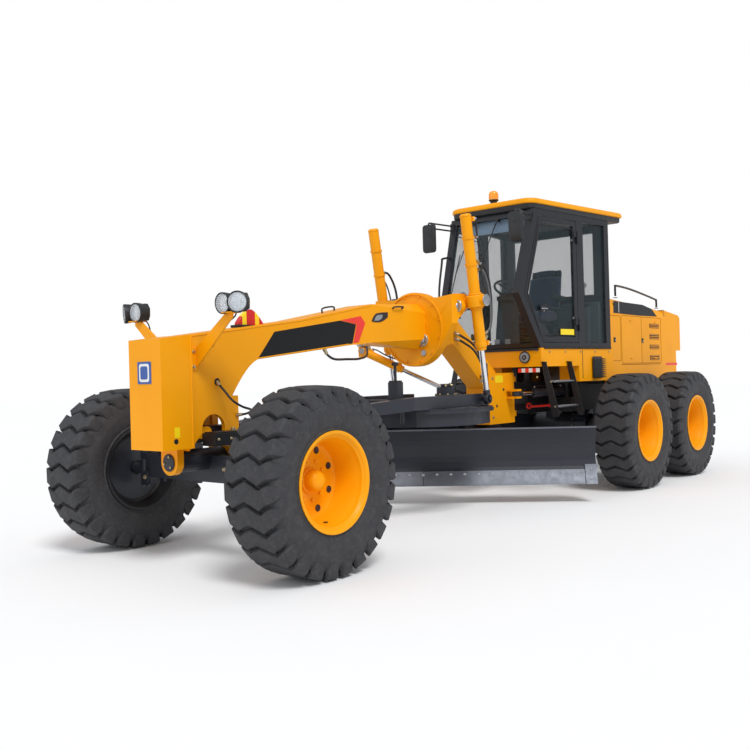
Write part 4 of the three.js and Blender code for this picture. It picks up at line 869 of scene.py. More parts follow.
def cab_roof():
    """The roof cap, its dark fascia, the beacon and the aerials."""
    form = Form()
    levels = [(0.012, 3.262), (0.002, 3.267), (0.0, 3.28), (0.004, 3.308), (0.02, 3.322), (0.05, 3.328),
        (0.12, 3.332), (0.32, 3.335)]
    rings = [[(x, y, z) for x, y in roof_plan(inset)] for inset, z in levels]
    form.rings(rings, closed=False)
    form.piece("cab_roof_cap", "machine", [YELLOW], crease=50, stands_for=["cab_roof"])
    form = Form()
    levels = [(0.05, 3.2005), (0.026, 3.204), (0.02, 3.215), (0.018, 3.268)]
    form.rings([[(x, y, z) for x, y in roof_plan(inset, 0.12)] for inset, z in levels], closed=False)
    for y in (-0.34, 0.34):
        form.block((-4.2, y, 3.235), (0.1, 0.16, 0.044), tag=1)
    form.piece("cab_roof_fascia", "machine", [PLASTIC, GREY], 0.002, crease=50)
    beacon = Vector((-4.44, -0.122, 3.33))
    form = Form()
    foot = [(0, 0), (0.07, 0), (0.072, 0.012), (0.06, 0.02), (0.04, 0.03), (0.04, 0.07), (0.057, 0.08),
        (0.057, 0.09), (0, 0.09)]
    form.lathe(foot, beacon, UP, 32, tag=1)
    dome = [(0, 0.088), (0.054, 0.088), (0.056, 0.1), (0.055, 0.155), (0.048, 0.178), (0.03, 0.192),
        (0.01, 0.197), (0, 0.198)]
    form.lathe(dome, beacon, UP, 36)
    for k in range(16):
        t = 2 * math.pi * k / 16
        edge = beacon + Vector((0.0555 * math.cos(t), 0.0555 * math.sin(t), 0))
        form.rod(edge + UP * 0.1, edge + UP * 0.16, 0.0014, 6)
    form.piece("beacon", "machine", [AMBER, PLASTIC], crease=40)
    form = Form()
    for y in (-0.02, 0.16):
        form.rod((-4.28, y, 3.326), (-4.28, y, 3.342), 0.014, 16)
    form.rod((-4.75, 0.3, 3.33), (-4.75, 0.3, 3.36), 0.02, 20)
    form.pipe([(-5.4, -0.5, 3.33), (-5.41, -0.5, 3.38), (-5.46, -0.5, 3.47)], 4, 0.0035, 8)
    form.lathe([(0, 0.0), (0.018, 0.0), (0.016, 0.014), (0, 0.016)], (-5.4, -0.5, 3.328), UP, 20)
    form.piece("roof_fittings", "machine", [PLASTIC], 0.0015)


MIRROR_AT = Vector((-3.739, 0.57, 2.949))


def mirror(name, side):
    """A driving mirror on a twin-tube bracket from the windscreen pillar."""
    x, y, z = MIRROR_AT.x, side * MIRROR_AT.y, MIRROR_AT.z
    form = Form()
    outline = rounded((-0.086, -0.159), (0.086, 0.159), 0.034, 5)
    levels = ((-0.026, 1.0), (-0.022, 1.03), (0.0, 1.0), (0.016, 0.85), (0.026, 0.55))
    form.rings([[(x + d, y + u * s, z + v * s) for u, v in outline] for d, s in levels], closed=False)
    form.rings([[(x + d, y + u * 0.9, z + v * 0.94) for u, v in outline] for d in (-0.0285, -0.0255)],
        closed=False, tag=1)
    root = Vector((cab_x(z + 0.178) + 0.03, side * (cab_y(cab_x(z)) - 0.025), z))
    for lift, drop in ((0.178, 0.0), (0.12, 0.02)):
        bend = [root + UP * lift, Vector((x - 0.1, y, z + lift + 0.004)), Vector((x - 0.02, y, z + lift)),
            Vector((x, y, z + lift - 0.03)), Vector((x, y, z + 0.05 + drop))]
        form.pipe(bend, 5, 0.0095, 12, tag=0)
    form.block(root + UP * 0.15 + BACK * 0.012, (0.024, 0.044, 0.11), tag=0)
    form.rod((x + 0.004, y, z + 0.06), (x + 0.03, y, z + 0.06), 0.018, 16)
    form.piece(f"mirror_{name}_head", "machine", [PLASTIC, MIRROR], 0.002,
        stands_for=[f"mirror_{name}"])


def grab_handle(name, side):
    """A tall handle beside the windscreen."""
    form = Form()
    x0 = cab_x(2.26) + 0.012
    y = side * (cab_y(x0) - 0.02)
    low, high = Vector((cab_x(1.86) + 0.075, y, 1.8)), Vector((x0 - 0.03, y, 2.75))
    points = [Vector((cab_x(1.8) - 0.01, y, 1.8)), low + UP * 0.005, low + UP * 0.06 + AHEAD * 0.02]
    points += [Vector((x0 + 0.055, y, 2.3)), high + AHEAD * 0.02, high + UP * 0.05,
        Vector((cab_x(2.83) - 0.01, y, 2.83))]
    form.pipe([p + DOWN * 0.08 for p in points], 6, 0.0125, 12)
    form.piece(f"grab_{name}", "machine", [PLASTIC])


def door_fittings(name, side):
    """Seals, kick panel, latch and inner pull of a door."""
    form = Form()

    def skin(x, z, proud):
        return Vector((x, side * (cab_y(x) + proud), z))

    corners = [(-4.25, 1.8), (-4.03, 2.253), (-4.26, 3.03), (-4.9, 3.03), (-4.9, 1.8)]
    line = []
    for k, (x, z) in enumerate(corners):
        nx, nz = corners[(k + 1) % len(corners)]
        line += [skin(x + (nx - x) * t / 6, z + (nz - z) * t / 6, 0.001) for t in range(6)]
    line.append(line[0])
    form.sweep(line, 0.006, 8, tag=1)
    kick = [(-4.25, 1.79), (-4.16, 1.98), (-4.33, 1.9), (-4.42, 1.79)]
    rings = [[skin(x, z, proud) for x, z in kick] for proud in (-0.001, 0.004)]
    form.rings(rings, closed=False)
    form.rings([[skin(x, z, proud) for x, z in ((-4.36, 2.05), (-4.24, 2.05), (-4.24, 2.13), (-4.36, 2.13))]
        for proud in (0.0, 0.012)], closed=False)
    form.sweep([skin(-4.345, 2.09, 0.014), skin(-4.335, 2.09, 0.034), skin(-4.27, 2.09, 0.036),
        skin(-4.25, 2.09, 0.02)], 0.008, 12, tag=2)
    form.rod(skin(-4.3, 2.065, 0.008), skin(-4.3, 2.065, 0.017), 0.009, 16, tag=2)
    for z in (2.0, 2.9):
        form.bolt(skin(-4.87, z, 0.003), (0, side, 0), 0.008, tag=2)
    inner = [skin(-4.83, 2.1, -0.05), skin(-4.82, 2.1, -0.09), skin(-4.6, 2.12, -0.1),
        skin(-4.45, 2.16, -0.09), skin(-4.43, 2.16, -0.05)]
    form.pipe(inner, 5, 0.011, 10, tag=0)
    form.rings([[skin(x, z, proud) for x, z in ((-4.88, 1.8), (-4.62, 1.8), (-4.62, 1.87), (-4.88, 1.87))]
        for proud in (0, 0.0035)], closed=False, tag=3)
    form.piece(f"door_{name}_fittings", f"door_{name}", [CAB, SEAL, STEEL, LABEL], 0.0015)


def wiper():
    """The two wipers that hang from the top of the windscreen."""
    form = Form()
    z0, z1 = 3.12, 2.5
    for y, swing in ((0.1, -0.16), (-0.22, -0.14)):
        top = Vector((cab_x(z0) - 0.005, y, z0))
        end = Vector((cab_x(z1) + 0.012, y + swing, z1))
        form.rod(top + BACK * 0.02, top + AHEAD * 0.03, 0.016, 16)
        form.sweep([top + AHEAD * 0.02, top.lerp(end, 0.3) + AHEAD * 0.02, end], [0.008, 0.006, 0.004], 8)
        blade = [end + UP * 0.26 + BACK * 0.082 + LEFT * 0.02, end + AHEAD * 0.002,
            end + DOWN * 0.2 + AHEAD * 0.06 + RIGHT * 0.02]
        form.sweep([p + BACK * 0.008 for p in blade], 0.006, 6)
    form.piece("wipers", "machine", [SEAL])


def pillow(name, body, low, high, crown, material, lean=0.0, anchor=None, bolster=0.0):
    """A padded block with crowned faces and pulled-in corners, swollen by air pressure in its cloth."""
    bm = bmesh.new()
    bmesh.ops.create_cube(bm, size=2)
    bmesh.ops.subdivide_edges(bm, edges=bm.edges, cuts=9, use_grid_fill=True)
    centre, half_size = (Vector(low) + Vector(high)) / 2, (Vector(high) - Vector(low)) / 2
    for v in bm.verts:
        p = v.co.copy()
        pull = 1 - 0.05 * (p.x * p.x) * (p.y * p.y) - 0.03 * (p.z * p.z) * (p.x * p.x + p.y * p.y)
        rounded = Vector((p.x * math.sqrt(1 - p.y * p.y * 0.06), p.y * math.sqrt(1 - p.x * p.x * 0.06),
            p.z))
        lift = crown * (1 - p.x**4) * (1 - p.y**4) * (1 if p.z > 0 else 0.2) * abs(p.z)
        side = bolster * max(0, abs(p.y) - 0.62) / 0.38 * (1 if p.z > 0 else 0)
        v.co = centre + Vector((rounded.x * half_size.x * pull, rounded.y * half_size.y * pull,
            p.z * half_size.z * pull * 0.94))
        v.co.z += math.copysign(lift, p.z) + side
    if lean:
        bmesh.ops.rotate(bm, verts=bm.verts, cent=Vector(anchor), matrix=Matrix.Rotation(lean, 3, "Y"))
    mesh = bpy.data.meshes.new(name)
    bm.to_mesh(mesh)
    bm.free()
    mesh.transform(Matrix.Translation(ORIGIN))
    made = put(name, mesh)
    inflate(made, 0.012)
    grown = made.modifiers.new("smooth", "SUBSURF")
    grown.levels = grown.render_levels = 1
    apply_modifiers(made)
    for polygon in made.data.polygons:
        polygon.use_smooth = True
    made.data.materials.append(material)
    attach(made, body)
    return made


def apply_modifiers(thing):
    """Bakes an object's modifiers into its mesh."""
    graph = bpy.context.evaluated_depsgraph_get()
    mesh = bpy.data.meshes.new_from_object(thing.evaluated_get(graph))
    thing.modifiers.clear()
    thing.data = mesh


CLOTH_CELL, AIR, CLOTH_STEPS = 0.012, 4, 20


def inflate(thing, most):
    """Swells a closed form by air pressure inside its cloth, and limits how far each point goes."""
    remesh = thing.modifiers.new("even", "REMESH")
    remesh.mode = "VOXEL"
    remesh.voxel_size = CLOTH_CELL
    apply_modifiers(thing)
    before = [v.co.copy() for v in thing.data.vertices]
    cloth = thing.modifiers.new("air", "CLOTH")
    cloth.settings.use_pressure = True
    cloth.settings.uniform_pressure_force = AIR
    cloth.settings.effector_weights.gravity = 0
    cloth.settings.tension_stiffness = 20
    cloth.settings.quality = 4
    cloth.point_cache.frame_start = 1
    cloth.point_cache.frame_end = CLOTH_STEPS
    for step in range(1, CLOTH_STEPS + 1):
        bpy.context.scene.frame_set(step)
    apply_modifiers(thing)
    for vertex, old in zip(thing.data.vertices, before):
        move = vertex.co - old
        if move.length > most:
            vertex.co = old + move * (most / move.length)
    bpy.context.scene.frame_set(1)


SEAT_X, COLUMN_X = -5.13, -4.48


def seat():
    """The padded seat with its bellows, shell and armrests."""
    x, base = SEAT_X, CAB_FLOOR
    pillow("seat_cushion", "machine", (x - 0.2, -0.24, base + 0.34), (x + 0.25, 0.24, base + 0.45), 0.012,
        CLOTH, bolster=0.02)
    pillow("seat_back", "machine", (x - 0.262, -0.225, base + 0.475), (x - 0.15, 0.225, base + 0.93), 0.012,
        CLOTH, -0.2, (x - 0.2, 0, base + 0.45))
    pillow("seat_headrest", "machine", (x - 0.25, -0.13, base + 0.93), (x - 0.17, 0.13, base + 1.0), 0.006,
        CLOTH, -0.2, (x - 0.2, 0, base + 0.45))
    form = Form()
    form.box((x - 0.17, -0.19, base + 0.001), (x + 0.18, 0.19, base + 0.05))
    for k in range(6):
        z = base + 0.06 + 0.036 * k
        out = 0.155 if k % 2 else 0.17
        form.box((x - out + 0.01, -out - 0.01, z), (x + out + 0.01, out + 0.01, z + 0.034), tag=1)
    form.box((x - 0.19, -0.21, base + 0.28), (x + 0.22, 0.21, base + 0.335))
    shell = [(x - 0.19, base + 0.34), (x - 0.215, base + 0.46), (x - 0.345, base + 0.95),
        (x - 0.325, base + 0.99), (x - 0.3, base + 0.9), (x - 0.19, base + 0.44), (x - 0.16, base + 0.34)]
    form.prism(shell, "y", -0.2, 0.2)
    for _, side in SIDES:
        form.rod((x - 0.2, side * 0.19, base + 0.6), (x - 0.2, side * 0.29, base + 0.6), 0.022, 20)
        rest = [(x - 0.22, base + 0.6), (x - 0.21, base + 0.645), (x + 0.09, base + 0.665),
            (x + 0.125, base + 0.645), (x + 0.12, base + 0.615), (x - 0.18, base + 0.575)]
        form.prism(rest, "y", side * 0.255, side * 0.308)
        form.rod((x + 0.05, side * 0.282, base + 0.665), (x + 0.055, side * 0.282, base + 0.76), 0.011, 12)
        form.lathe([(0, 0), (0.02, 0.01), (0.024, 0.035), (0.016, 0.055), (0, 0.06)],
            (x + 0.055, side * 0.282, base + 0.75), UP, 20)
    form.piece("seat_base", "machine", [PLASTIC, SEAL], 0.006, stands_for=["seat"])


def console():
    """The steering column with its wheel, levers and pedals."""
    base, x = CAB_FLOOR, COLUMN_X
    form = Form()
    column = [(x + 0.11, base + 0.001), (x + 0.095, base + 0.2), (x + 0.02, base + 0.63),
        (x - 0.045, base + 0.655), (x - 0.07, base + 0.62), (x - 0.09, base + 0.1),
        (x - 0.095, base + 0.001)]
    form.prism(column, "y", -0.105, 0.105)
    tilt = math.radians(-28)
    axis = Vector((math.sin(tilt), 0, math.cos(tilt)))
    form.matrix = axes_at((x - 0.07, 0, base + 0.715), axis, AHEAD)
    ring = hoop(0.184, 0.0145, 12)
    form.spin(ring, 48, tag=1)
    form.spin([(0, 0.012), (0.04, 0.01), (0.048, -0.004), (0.04, -0.06), (0, -0.065)], 32, tag=1)
    for k in range(3):
        t = 2 * math.pi * k / 3 + math.pi / 2
        form.sweep([(0.03 * math.cos(t), 0.03 * math.sin(t), -0.01),
            (0.12 * math.cos(t), 0.12 * math.sin(t), -0.012), (0.18 * math.cos(t), 0.18 * math.sin(t), 0)],
            [0.015, 0.011, 0.009], 10, tag=1)
    form.rod((-0.12, 0.12, 0.01), (-0.12, 0.12, 0.05), 0.014, 16, tag=1)
    form.matrix = Matrix.Identity(4)
    form.block((x + 0.03, 0, base + 0.6), (0.09, 0.19, 0.05))
    for side in (-1, 1):
        for k in range(4):
            y = side * (0.055 + 0.022 * k)
            form.rod((x - 0.03, y, base + 0.62), (x - 0.075 - 0.012 * k, y * 1.25, base + 0.78), 0.0045, 8,
                tag=1)
            form.lathe([(0, 0), (0.011, 0.006), (0.012, 0.02), (0, 0.028)],
                (x - 0.075 - 0.012 * k, y * 1.25, base + 0.775), UP, 14, tag=1)
    for y in (-0.07, 0.07):
        form.rings([[(x + 0.12 + d, y + u, base + 0.06 + v) for u,
            v in ((-0.035, -0.04), (0.035, -0.04), (0.035, 0.06), (-0.035, 0.06))] for d in (0, 0.012)],
            closed=False, tag=2)
    form.piece("steering_console", "machine", [LINING, PLASTIC, STEEL], 0.004,
        stands_for=["console"])


for name, side in SIDES:
    work_lamp(name, side)
    mirror(name, side)
    door_fittings(name, side)
grab_handle("right", -1)
cab_roof()
wiper()
seat()
console()


# ---------------------------------------------------------------- beam, nose and saddle
BEAM_SIDE, HOOD_SIDE, ARM_SIDE = 0.15, 0.63, 0.4605


def beam_films(side):
    """The black film along the beam, a red chevron behind it, and the seams of the box beam."""
    form = Form()
    black = [(-0.375, 1.564), (-0.56, 1.778), (-1.366, 1.894), (-1.586, 1.866), (-1.53, 1.692)]
    plate(form, black, side, BEAM_SIDE)
    red = [(-1.372, 1.897), (-1.652, 1.944), (-1.717, 1.882), (-1.616, 1.702), (-1.54, 1.694),
        (-1.594, 1.867)]
    plate(form, red, side, BEAM_SIDE, 0.0014, tag=1)
    form.piece(f"beam_film_{side > 0:d}", "front_frame", [DECAL, SIGNAL])
    form = Form()
    for start, end in (((0.3, 1.728), (-0.86, 1.877)), ((-0.86, 1.877), (-1.8, 2.047)),
        ((-0.38, 1.562), (-1.48, 1.685))):
        form.sweep([(start[0], side * (BEAM_SIDE + 0.0002), start[1]),
            (end[0], side * (BEAM_SIDE + 0.0002), end[1])], 0.0055, 8)
    form.sweep([(0.3, side * 0.153, 0.93), (0.302, side * 0.153, 1.725)], 0.009, 8)
    form.rod((0.062, side * 0.146, 1.382), (0.062, side * 0.1515, 1.382), 0.03, 28, tag=2)
    form.lathe([(0.0295, -0.002), (0.037, -0.002), (0.037, 0.004), (0.0295, 0.006)],
        (0.062, side * 0.15, 1.382), (0, side, 0), 28)
    form.piece(f"beam_seams_{side > 0:d}", "front_frame", [YELLOW, BRASS, SEAL])


def nose_fittings():
    """The plain badge, seams and lugs of the nose, the marker on the beam and its lamps."""
    form = Form()
    form.prism(rounded((-0.083, 1.381), (0.077, 1.543), 0.006), "x", 0.606, 0.611)
    form.prism(rounded((-0.062, 1.396), (0.056, 1.528), 0.02), "x", 0.606, 0.6122, tag=1)
    form.prism(rounded((-0.046, 1.414), (0.04, 1.51), 0.016), "x", 0.606, 0.6132)
    form.piece("nose_badge", "front_frame", [BLUE, WHITE, CHROME], 0.001)
    form = Form()
    for _, side in SIDES:
        plate(form, rounded((0.452, 0.986), (0.5, 1.06), 0.004), side, 0.19, tag=1)
        form.rod((0.488, side * 0.186, 0.958), (0.488, side * 0.1915, 0.958), 0.02, 24, tag=2)
        form.sweep([(0.335, side * 0.191, 0.9), (0.335, side * 0.191, 1.72)], 0.006, 8)
    form.button((0.066, 0.008), (0.06, 0.012), 0.012, (0.41, 0, 0.79), AHEAD, 40, tag=4)
    form.bolt_ring((0.42, 0, 0.79), AHEAD, 0.045, 3, 0.009, tag=3, start=0.5)
    form.rod((0.5, 0, 1.706), (0.5, 0, 1.712), 0.028, 24, tag=2)
    form.piece("nose_fittings", "front_frame", [YELLOW, LABEL, SEAL, BRASS, SLATE], 0.001)
    form = Form()
    stripes = 6
    low, high, front, back = 1.822, 1.966, -0.285, -0.562
    for k in range(stripes):
        a, b = front + (back - front) * k / stripes, front + (back - front) * (k + 1) / stripes
        arc = []
        for i in range(5):
            x = a + (b - a) * i / 4
            u = (x - 0.5 * (front + back)) / (0.5 * (front - back))
            arc.append((x, low + 0.03 + (high - low - 0.03) * (1 - abs(u) ** 1.6)))
        form.prism([(a, low)] + arc + [(b, low)], "y", -0.022, 0.022, tag=(0, 1, 0, 0, 1, 0)[k])
    form.box((back - 0.02, -0.05, 1.815), (front + 0.02, 0.05, 1.835), tag=3)
    form.piece("beam_marker", "front_frame", [RED, LABEL, WHITE, BLACK], 0.002)
    form = Form()
    for _, side in SIDES:
        leaf = [(-1.805, 1.9), (-1.835, 1.945), (-1.872, 1.975), (-1.96, 1.988), (-2.046, 1.993),
            (-2.044, 1.945), (-1.99, 1.915), (-1.931, 1.896), (-1.86, 1.893)]
        plate(form, leaf, side, 0.152, 0.004)
        glow = [(-1.84, 1.908), (-1.868, 1.95), (-1.9, 1.962), (-1.965, 1.966), (-1.95, 1.93),
            (-1.9, 1.908)]
        plate(form, glow, side, 0.154, 0.0045, tag=1)
        form.pipe([(-2.12, side * 0.152, 2.03), (-2.13, side * 0.18, 2.045), (-2.25, side * 0.18, 2.05),
            (-2.26, side * 0.155, 2.035)], 5, 0.008, 10)
    form.pipe([(-1.3, 0.0, 1.968), (-1.31, 0, 2.01), (-1.45, 0, 2.03), (-1.46, 0, 1.99)], 5, 0.008, 10)
    form.piece("beam_lamps", "front_frame", [PLASTIC, LENS], 0.001)


def bright_cap(form, at, axis, radius, tag=3):
    """A bare steel cap with a ring of bolts and a raised middle, over a ball joint."""
    edge = [(0, 0), (radius, 0), (radius, 0.014), (radius - 0.006, 0.02), (radius * 0.55, 0.02)]
    edge += [(radius * 0.5, 0.034), (radius * 0.3, 0.044), (0, 0.046)]
    form.lathe(edge, at, axis, 36, tag=tag)
    form.bolt_ring(Vector(at) + Vector(axis).normalized() * 0.019, axis, radius * 0.78, 6, 0.009, tag=1)


def saddle_fittings():
    """The bolts of the saddle disc, and the covers of the lift trunnions."""
    form = Form()
    centre = Vector((-2.639, 0, 1.849))
    for k in range(12):
        t = math.radians(30 * k + 15)
        at = centre + Vector((0, 0.335 * math.cos(t), 0.335 * math.sin(t)))
        form.bolt(at, AHEAD, 0.011)
    form.lathe([(0.352, 0), (0.37, 0.0), (0.371, 0.004), (0.37, 0.01), (0.352, 0.012)], centre, AHEAD, 64)
    back = centre + Vector((-0.102, 0, 0))
    form.bolt_ring(back, BACK, 0.326, 12, 0.012, tag=1, start=0.13)
    for _, side in SIDES:
        form.lathe([(0.056, 0), (0.098, 0), (0.098, 0.014), (0.09, 0.02), (0.056, 0.02)],
            (LIFT.x, side * 0.43, LIFT.z), (0, side, 0), 40, tag=3)
        form.bolt_ring((LIFT.x, side * 0.45, LIFT.z), (0, side, 0), 0.078, 8, 0.009, tag=1)
        gusset = [(side * 0.2, 2.02), (side * 0.42, 2.1), (side * 0.42, 2.07), (side * 0.28, 1.93)]
        form.prism(gusset, "x", -2.66, -2.636)
    form.lathe([(0, 0), (0.05, 0.0), (0.062, 0.012), (0.055, 0.05), (0, 0.06)], (-2.6, -0.64, 1.702), UP, 28,
        tag=3)
    for y, z, x in ((0.455, 2.062, -2.755), (-0.455, 2.062, -2.755), (0.13, 1.737, -2.625)):
        bright_cap(form, (x, y, z), (1, 0.15, 0), 0.064)
        form.rod((x - 0.06, y, z), (x, y, z), 0.07, 32)
    form.prism([(-0.02, 1.68), (0.2, 1.68), (0.2, 1.6), (0.13, 1.56), (0.0, 1.6)], "x", -2.7, -2.655)
    form.rod((-2.72, 0.13, 1.61), (-2.63, 0.13, 1.61), 0.03, 24, tag=3)
    form.piece("saddle_fittings", "front_frame", [YELLOW, BRASS, SEAL, STEEL], 0.001)


RING_X, RING_TURN, RING_TEETH = -2.712, math.radians(34.3), 90


def drawbar_fittings():
    """The valve box and post, the motor that turns the circle, and the guide shoes."""
    form = Form()
    form.prism(rounded((-2.048, 0.2), (-1.952, 0.32), 0.015), "z", 1.164, 1.33)
    form.prism(rounded((-2.04, 0.208), (-1.96, 0.312), 0.012), "z", 1.325, 1.345, tag=1)
    form.rod((-2.0, 0.26, 1.34), (-2.0, 0.26, 1.5), 0.014, 20)
    form.lathe([(0, 0), (0.03, 0.0), (0.034, 0.012), (0.03, 0.03), (0, 0.034)], (-2.0, 0.26, 1.485), UP, 24,
        tag=1)
    motor = Vector((-2.802, 0.27, 1.26))
    form.lathe([(0.094, -0.09), (0.112, -0.09), (0.112, -0.07), (0.094, -0.07)], motor, UP, 40)
    form.bolt_ring(motor + UP * -0.07, UP, 0.103, 8, 0.009, tag=2)
    form.lathe([(0, 0), (0.05, 0.0), (0.053, 0.008), (0.05, 0.03), (0.042, 0.036), (0, 0.038)],
        motor + UP * -0.002, UP, 36, tag=1)
    for turn in (0.6, 2.4):
        out = Vector((math.cos(turn), math.sin(turn), 0))
        form.rod(motor + UP * 0.018, motor + UP * 0.018 + out * 0.068, 0.012, 14, tag=2)
    centre = Vector((RING_X, 0, 1.075))
    for k in range(4):
        t = math.radians(45 + 90 * k)
        at = centre + Vector((0.6 * math.cos(t), 0.6 * math.sin(t), 0.04))
        form.block(at, (0.13, 0.1, 0.03))
        for dx in (-0.04, 0.04):
            form.bolt(at + Vector((dx, 0, 0.015)), UP, 0.011, tag=2)
    ring = hoop(0.037, 0.012, 10)
    form.lathe(ring, (0.06, 0, 1.17), AHEAD, 24, tag=1)
    form.piece("drawbar_fittings", "drawbar", [SLATE, SEAL, BRASS], 0.003)


TURNED = Matrix.Translation((RING_X, 0, 0)) @ Matrix.Rotation(RING_TURN, 4, "Z")
EDGE_X, EDGE_Z, BOW, HIGH, SPAN = -0.452, 0.2, 0.12, 0.605, 1.83


def face_x(z):
    """The blade's hollow front face at a height, in the circle's own axes."""
    t = (z - EDGE_Z) / HIGH
    return EDGE_X - 4 * BOW * t * (1 - t)


def circle_fittings():
    """The teeth inside the circle and the pins of its two arms."""
    form = Form(TURNED)
    for k in range(RING_TEETH):
        t = 2 * math.pi * k / RING_TEETH
        turn = Matrix.Rotation(t, 4, "Z")
        shape = [(0.612, -0.014), (0.592, -0.007), (0.592, 0.007), (0.612, 0.014)]
        rings = [[turn @ Vector((u, v, z)) for u, v in shape] for z in (1.021, 1.049)]
        form.rings(rings, closed=False, tag=1)
    for _, side in SIDES:
        pin = Vector((-0.745, side * ARM_SIDE, 0.442))
        form.button((0.05, 0.006), (0.03, 0.01), 0.01, pin, LEFT * side, 32, tag=1)
        form.bolt(pin + LEFT * side * 0.01, LEFT * side, 0.014, tag=2)
        for x, z in ((-0.5, 0.9), (-0.6, 0.9), (-0.55, 0.87)):
            form.bolt((x, side * ARM_SIDE, z), (0, side, 0), 0.011, tag=2)
        form.sweep([(-0.42, side * (ARM_SIDE + 0.0005), 0.93), (-0.63, side * (ARM_SIDE + 0.0005), 0.935)],
            0.006, 8)
    form.piece("circle_fittings", "circle", [SLATE, STEEL, BRASS], 0.0)


def blade_fittings():
    """The bolted cutting edges, the end bits, the ribs and the top flange of the blade."""
    form = Form(TURNED)
    for k in range(2):
        y0, y1 = (-SPAN + 0.125, -0.003) if k == 0 else (0.003, SPAN - 0.125)
        zs = [0.2, 0.24, 0.28, 0.32, 0.35]
        outline = [(face_x(z) + 0.019, z) for z in zs] + [(face_x(z) - 0.001, z) for z in reversed(zs)]
        outline[0] = (face_x(0.2) + 0.006, 0.2)
        form.prism(outline, "y", y0, y1)
    for _, side in SIDES:
        zs = [0.2, 0.26, 0.32, 0.4]
        outline = [(face_x(z) + 0.021, z) for z in zs] + [(face_x(z) - 0.001, z) for z in reversed(zs)]
        low, high = span(side, SPAN - 0.12, SPAN)
        form.prism(outline, "y", low, high)
        rib = [(face_x(z) - 0.022, z) for z in (0.22, 0.36, 0.5, 0.66, 0.79)]
        rib += [(face_x(z) - 0.05, z) for z in (0.79, 0.66, 0.5, 0.36, 0.22)]
        low, high = span(side, SPAN - 0.048, SPAN - 0.03)
        form.prism(rib, "y", low, high, tag=1)
        for z in (0.25, 0.35):
            form.bolt((face_x(z) + 0.02, side * (SPAN - 0.06), z), AHEAD, 0.011, tag=2)
    for k in range(23):
        y = -SPAN + 0.2 + k * (2 * SPAN - 0.4) / 22
        z = 0.315
        form.rod((face_x(z) + 0.012, y, z), (face_x(z) + 0.0225, y, z), 0.016, 14, tag=2)
        form.bolt((face_x(z) - 0.022, y, z), BACK, 0.012, tag=2)
    form.prism([(face_x(0.8) + 0.004, 0.79), (face_x(0.8) + 0.004, 0.8045), (face_x(0.8) - 0.05, 0.8045),
        (face_x(0.8) - 0.05, 0.79)], "y", -SPAN + 0.002, SPAN - 0.002, tag=0)
    for y in (-0.9, -0.3, 0.3, 0.9):
        rib = [(face_x(z) - 0.021, z) for z in (0.42, 0.5, 0.54)] + [(face_x(z) - 0.055, z)
            for z in (0.54, 0.5, 0.42)]
        form.prism(rib, "y", y - 0.008, y + 0.008, tag=1)
    form.piece("blade_edges", "blade", [EDGE, SLATE, STEEL], 0.001)


# ---------------------------------------------------------------- front axle
def under_nose():
    """The dark bracket behind the nose that carries the steering hoses."""
    form = Form()
    for _, side in SIDES:
        low, high = span(side, 0.152, 0.3)
        form.box((-0.1, low, 0.905), (0.22, high, 1.0))
        form.box((-0.08, low, 1.0), (0.2, high - 0.01 if side > 0 else high, 1.008))
        for x in (-0.06, 0.06, 0.18):
            form.bolt((x, side * 0.3, 0.955), (0, side, 0), 0.009, tag=1)
        form.rod((-0.03, side * 0.22, 1.0), (-0.03, side * 0.22, 1.03), 0.02, 16, tag=1)
    form.prism([(-0.149, 0.94), (0.149, 0.94), (0.149, 1.0), (-0.149, 1.0)], "x", -0.14, -0.1)
    form.piece("hose_bracket", "front_frame", [BLACK, BRASS], 0.003)


def axle_fittings():
    """The steering cylinders, pivots and kingpin caps of the front axle."""
    form = Form()
    for _, side in SIDES:
        form.block((0.085, side * 0.34, 0.72), (0.012, 0.24, 0.06))
        for y in (0.24, 0.44):
            form.bolt((0.09, side * y, 0.72), AHEAD, 0.011, tag=1)
        form.button((0.052, 0.01), (0.03, 0.014), 0.014, (0.08, side * 0.745, 0.612), AHEAD, 32)
        form.bolt((0.094, side * 0.745, 0.612), AHEAD, 0.014, tag=1)
        form.block((-0.1, side * 0.12, 0.76), (0.07, 0.09, 0.08))
        form.rod((-0.13, side * 0.1, 0.742), (-0.13, side * 0.42, 0.712), 0.036, 28)
        form.lathe([(0.0185, 0), (0.04, 0.0), (0.04, 0.03), (0.0185, 0.032)], (-0.13, side * 0.41, 0.713),
            (0, side, -0.09), 28)
        form.rod((-0.13, side * 0.41, 0.713), (-0.13, side * 0.62, 0.692), 0.018, 20, tag=2)
        form.pipe([(-0.16, side * 0.14, 0.775), (-0.19, side * 0.2, 0.78), (-0.17, side * 0.37, 0.755)], 5,
            0.008, 10, tag=3)
    form.piece("axle_fittings", "front_axle", [SLATE, BRASS, CHROME, SEAL], 0.002)
    for name, side in SIDES:
        form = Form()
        for z in (0.802, 0.542):
            up = 1 if z > 0.7 else -1
            form.button((0.046, 0.008), (0.034, 0.014), 0.015, (0, side * 0.85, z), (0, 0, up), 32)
            form.bolt_ring((0, side * 0.85, z + up * 0.012), (0, 0, up), 0.026, 3, 0.006, tag=1)
        form.piece(f"kingpin_caps_{name}", f"lean_bracket_{name}", [SLATE, BRASS], 0.001)


